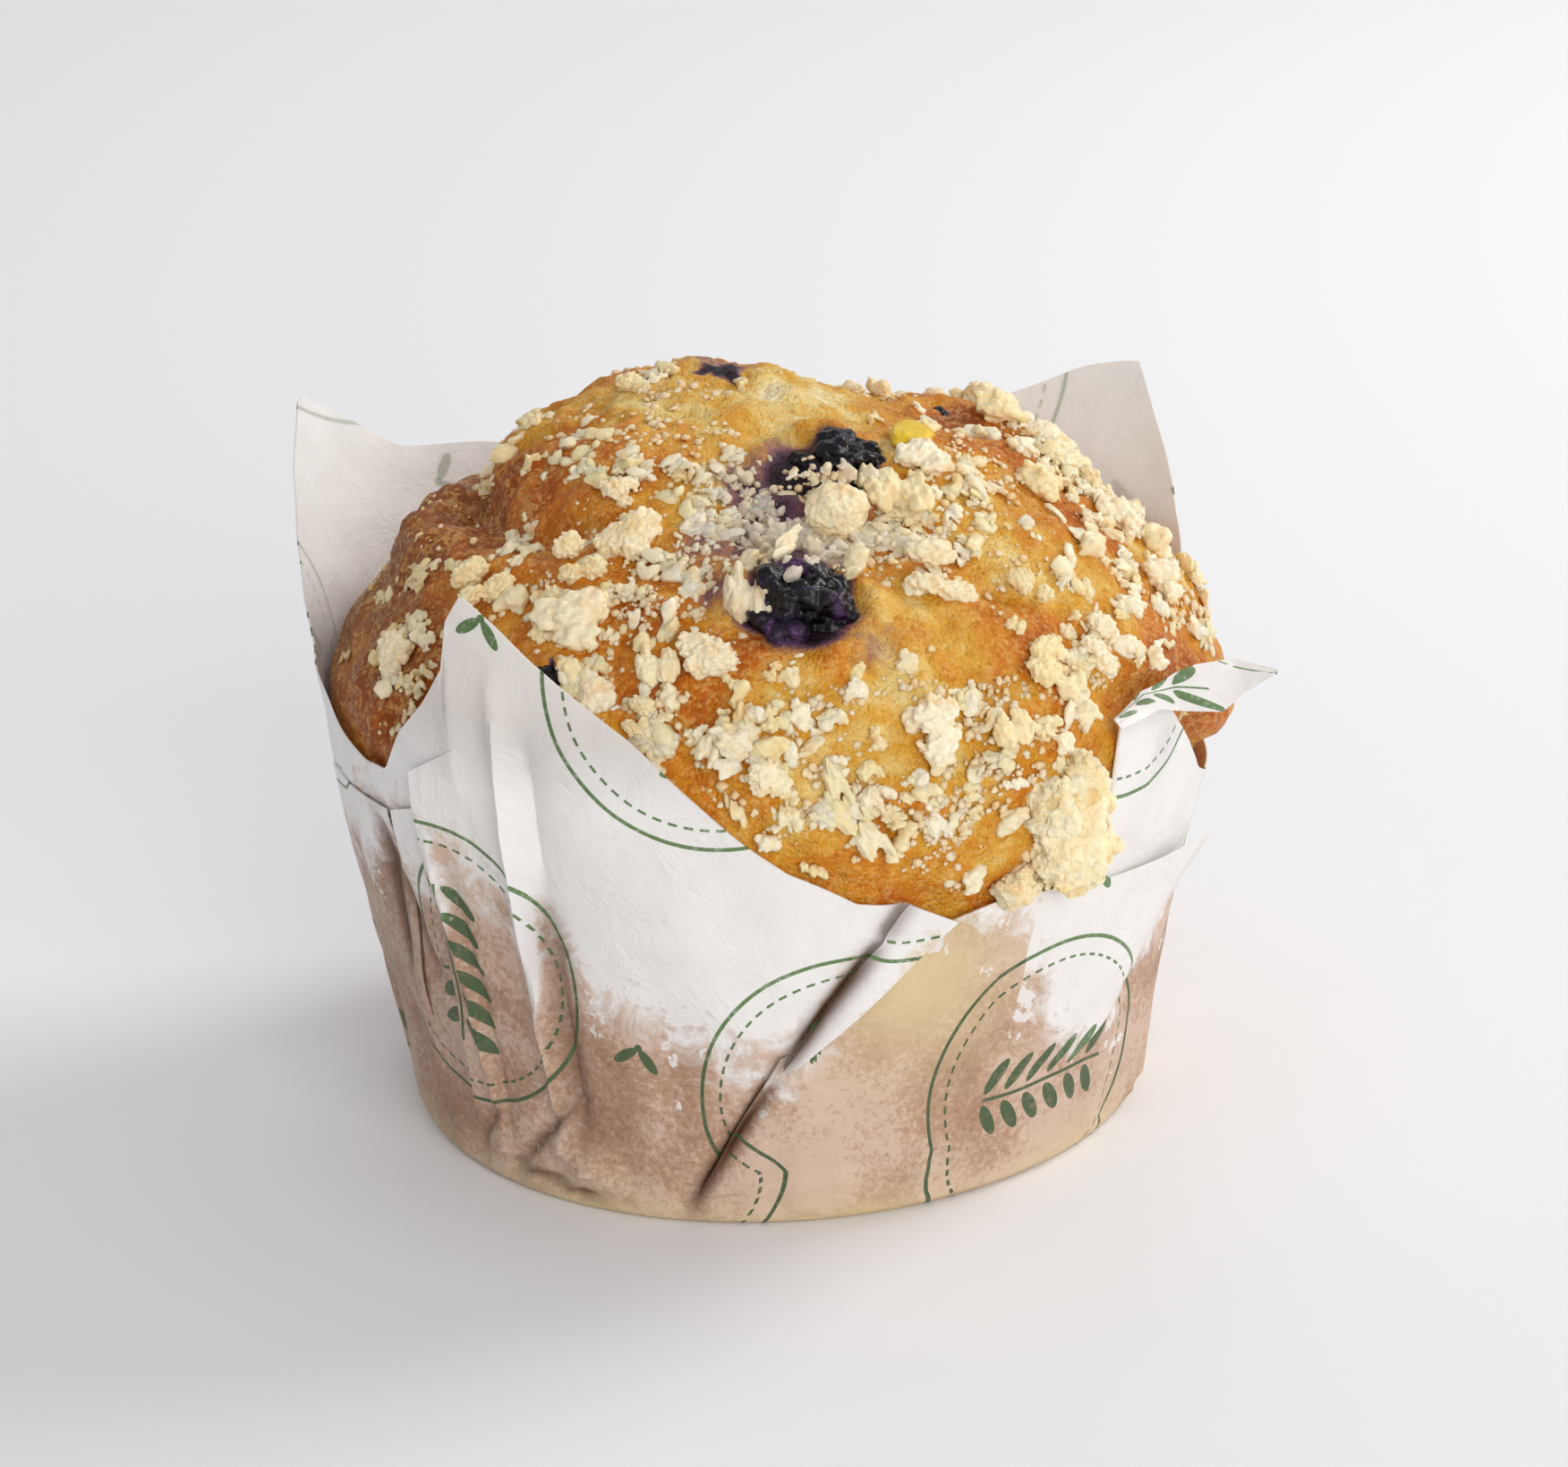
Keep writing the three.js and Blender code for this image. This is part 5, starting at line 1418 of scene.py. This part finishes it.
def wall_sheet(paper):
    """The whole sheet but its folds: base, foot and wall up to the free edge."""
    piece, u, v = flat_grid("case_wall", WALL["columns"], WALL["rows"])
    turn = (u - 0.5) * 360.0
    azimuth = turn - WALL["closer"] * np.sin(np.radians(turn))
    base_share, foot_share = WALL["base"], WALL["foot"]
    ripple = WALL["ripple"] * np.sin(np.radians(azimuth) * WALL["ripples"])
    edge = edge_height(azimuth) + ripple - WALL["below"]
    up = np.clip((v - foot_share) / (1 - foot_share), 0, 1) ** WALL["lower"]
    height = mix(CASE["foot"], edge, up)
    foot_turn = np.clip((v - base_share) / (foot_share - base_share), 0, 1)
    z = np.where(v > foot_share, height, CASE["foot"] * (1 - np.cos(foot_turn * np.pi / 2)))
    rim = case_radius(azimuth, CASE["foot"]) - CASE["foot"]
    base = (rim - 0.5 * SHEET) * np.clip(v / base_share, 0, 1)
    foot = rim - 0.5 * SHEET + CASE["foot"] * np.sin(foot_turn * np.pi / 2)
    low = polar(azimuth, np.where(v > base_share, foot, base), z + 0.5 * SHEET)
    points = np.where((v > foot_share)[:, None], wall_point(azimuth, z), low)
    move_points(piece, points * MM)
    reach = np.where(v > base_share, CASE["base"] + z, base)
    map_sheet(piece, azimuth, z, reach)
    paint_grease_and_shade(piece, azimuth, z)
    take(piece)
    bpy.ops.object.mode_set(mode="EDIT")
    bpy.ops.mesh.select_all(action="SELECT")
    bpy.ops.mesh.remove_doubles(threshold=0.00002)
    bpy.ops.mesh.normals_make_consistent(inside=False)
    bpy.ops.object.mode_set(mode="OBJECT")
    thicken(piece, paper)
    return piece


# Folds that lie on the wall, between two rails of (azimuth low, azimuth high). low, high:
# its ends, high at the left and right rail. lift: how far its left and right edges stand
# out. petal: the petal whose print it carries. dry: how much cleaner its paper is.
FOLDS = [
    dict(name="front_fold", left=(-12.5, 0.2), right=(0, 12), low=3, high=(18.4, 17.0),
         lift=(0.95, 0.0), petal=55.0, dry=0.0, tucked=True),
    dict(name="front_loop", left=(0.2, 17.0), right=(1.4, 23.4), low=16.4, high=(33.6, 31.0),
         lift=(1.15, 0.95), petal=-119.0, dry=0.25),
    dict(name="right_panel", left=(30, 34), right=(46, 77), low=11, high=(31.4, 27.8),
         lift=(0.0, 0.8), curl=1.6, petal=55.0, dry=0.25),
    dict(name="left_fold", left=(-49, -49), right=(-40, -40), low=3, high=(44, 48),
         lift=(0.95, 0.0), petal=-38.0, dry=0.0),
    dict(name="left_tuck", left=(-57, -55), right=(-48, -48), low=22, high=(38.6, 40.4),
         lift=(0.8, 0.45), petal=-119.0, dry=0.2),
    dict(name="left_panel", left=(-100, -100), right=(-58, -57), low=14, high=(34.5, 38.2),
         lift=(0.0, 0.5), petal=-119.0, dry=0.1),
    dict(name="right_back_fold", left=(108, 112), right=(120, 128), low=4, high=(48, 52),
         lift=(0.8, 0.0), petal=130.0, dry=0.0),
    dict(name="back_fold", left=(160, 158), right=(172, 176), low=4, high=(49, 45),
         lift=(0.0, 0.9), petal=-119.0, dry=0.0),
    dict(name="left_back_fold", left=(-150, -154), right=(-138, -136), low=4, high=(50, 52),
         lift=(0.8, 0.0), petal=-119.0, dry=0.0)]


def fold_sheet(fold, paper):
    """A fold: a strip of sheet that comes out of the wall and ends in a free edge."""
    width = max(fold["right"][0] - fold["left"][0], fold["right"][1] - fold["left"][1])
    columns = int(10 + width * 0.9)
    piece, u, v = flat_grid(f"case_{fold['name']}", columns, 44)
    azimuth = mix(mix(fold["left"][0], fold["left"][1], v),
                  mix(fold["right"][0], fold["right"][1], v), u)
    z = mix(fold["low"], mix(fold["high"][0], fold["high"][1], u), v)
    lift = mix(fold["lift"][0], fold["lift"][1], u) + fold.get("curl", 0.0) * (u * v) ** 2
    tuck = np.exp(-v * 12) * 0.9 * np.max(np.abs(fold["lift"]))
    if fold.get("tucked"):
        tuck = tuck + ease_in((v - 0.72) / 0.28) * (lift + 0.35) * ease_in(u * 6)
    lift = lift - tuck + 0.12 * np.sin(9 * v + 5 * u) * np.minimum(1, lift) - 0.06
    move_points(piece, wall_point(azimuth, z, lift) * MM)
    map_sheet(piece, azimuth, z, CASE["base"] + z, fold["petal"])
    paint_grease_and_shade(piece, azimuth, z, fold["dry"])
    thicken(piece, paper)
    return piece


# The tip of the right petal, folded over: azimuth, radius, height along its fold and
# along its free side, from the flap to the point.
PEAK_FOLD = [(47.5, 44.4, 46.0), (55, 44.7, 46.2), (60, 44.7, 44.8), (63, 48.2, 44.4),
             (66.5, 49.4, 45.5), (70, 51.6, 46.5)]
PEAK_SIDE = [(47.5, 43.4, 46.5), (55, 42.5, 47.8), (62, 43.5, 47.9), (66, 44.6, 47.7),
             (71, 47.0, 47.3), (70.6, 51.6, 46.6)]


def peak_sheet(paper):
    """The tip of the right petal, laid over on the shoulder of the cake."""
    piece, u, v = flat_grid("case_peak", 60, 26)
    steps = np.linspace(0, 1, len(PEAK_FOLD))
    fold, side = (np.stack([np.interp(u, steps, axis) for axis in np.array(rail, float).T])
                  for rail in (PEAK_FOLD, PEAK_SIDE))
    azimuth, radius, z = mix(fold, side, v)
    z = z + 0.35 * np.sin(9 * u + 2.5 * v) * v * (1 - u)
    move_points(piece, polar(azimuth, radius, z) * MM)
    map_sheet(piece, azimuth, z, CASE["base"] + PEAK["height"] + 8 * v + 6 * u, 55.0)
    paint_grease_and_shade(piece, azimuth, z, 1.0)
    thicken(piece, paper)
    return piece


def paper_case():
    # The inside's whites are lighter than the outside's: painted light on the inner faces of the
    # petals.
    paper = (paper_material("greaseproof_paper_outside", 1.0, ("#F9F7F5", "#F1ECE7")),
             paper_material("greaseproof_paper_inside", 0.24, ("#FFFFFF", "#FAF8F6")))
    sheets = [wall_sheet(paper), peak_sheet(paper)] + [fold_sheet(fold, paper) for fold in FOLDS]
    for sheet in sheets:
        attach(sheet, "root")
        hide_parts("paper_case")


# ------------------------------------------------------------------ table, light, camera


def table():
    deselect()
    bpy.ops.mesh.primitive_plane_add(size=6.0)
    top = name_new("table_top")
    wear(top, table_material())


def light(name, place, aim, size, power, colour):
    data = bpy.data.lights.new(name, "AREA")
    data.shape = "DISK"
    data.size = size
    data.energy = power
    data.color = colour
    lamp = bpy.data.objects.new(name, data)
    lamp.location = place
    lamp.rotation_euler = (Vector(aim) - Vector(place)).to_track_quat("-Z", "Y").to_euler()
    bpy.context.collection.objects.link(lamp)


# The lamps: name, place and aim in metres, size across, power in watts, colour.
LAMPS = [
    ("window", (0.62, 0.34, 0.52), (0, 0, 0.04), 0.40, 3.45, (1.0, 0.985, 0.955)),
    ("reflector", (0.42, -1.10, 0.46), (0, 0, 0.04), 0.8, 7.2, (1.0, 0.99, 0.975)),
    ("back_wall", (-0.1, 0.85, 0.75), (0, 0.25, 0.0), 1.0, 1.7, (1.0, 0.995, 0.99)),
    ("side_lamp", (-0.5, -0.75, 0.5), (0, 0, 0.04), 0.16, 0.15, (1.0, 0.99, 0.97))]
ROOM = dict(colour=(0.975, 0.98, 1.0, 1.0), strength=0.455)


def lights():
    for lamp in LAMPS:
        light(*lamp)
    world = bpy.data.worlds.new("pale_room")
    world.use_nodes = True
    sky = world.node_tree.nodes["Background"]
    sky.inputs["Color"].default_value = ROOM["colour"]
    sky.inputs["Strength"].default_value = ROOM["strength"]
    bpy.context.scene.world = world


# The view: degrees down and rolled, lens in mm, place of the camera in mm.
VIEW = dict(elevation=20.5, roll=-2.0, lens=108.0, sensor=36.0, place=(1.43, -438.0, 199.3))


def camera():
    data = bpy.data.cameras.new("view")
    data.sensor_width = VIEW["sensor"]
    data.lens = VIEW["lens"]
    data.clip_end = 20.0
    eye = bpy.data.objects.new("view", data)
    tilt = Matrix.Rotation(math.radians(90 - VIEW["elevation"]), 4, "X")
    roll = Matrix.Rotation(math.radians(VIEW["roll"]), 4, "Z")
    eye.matrix_world = Matrix.Translation(Vector(VIEW["place"]) * MM) @ tilt @ roll
    bpy.context.collection.objects.link(eye)
    bpy.context.scene.camera = eye


def muffin():
    whole = cake()
    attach(whole, "root")
    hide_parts("muffin")
    streusel()
    berries()
    paper_case()


camera()
muffin()
table()
lights()
bpy.context.scene.view_settings.view_transform = "Standard"
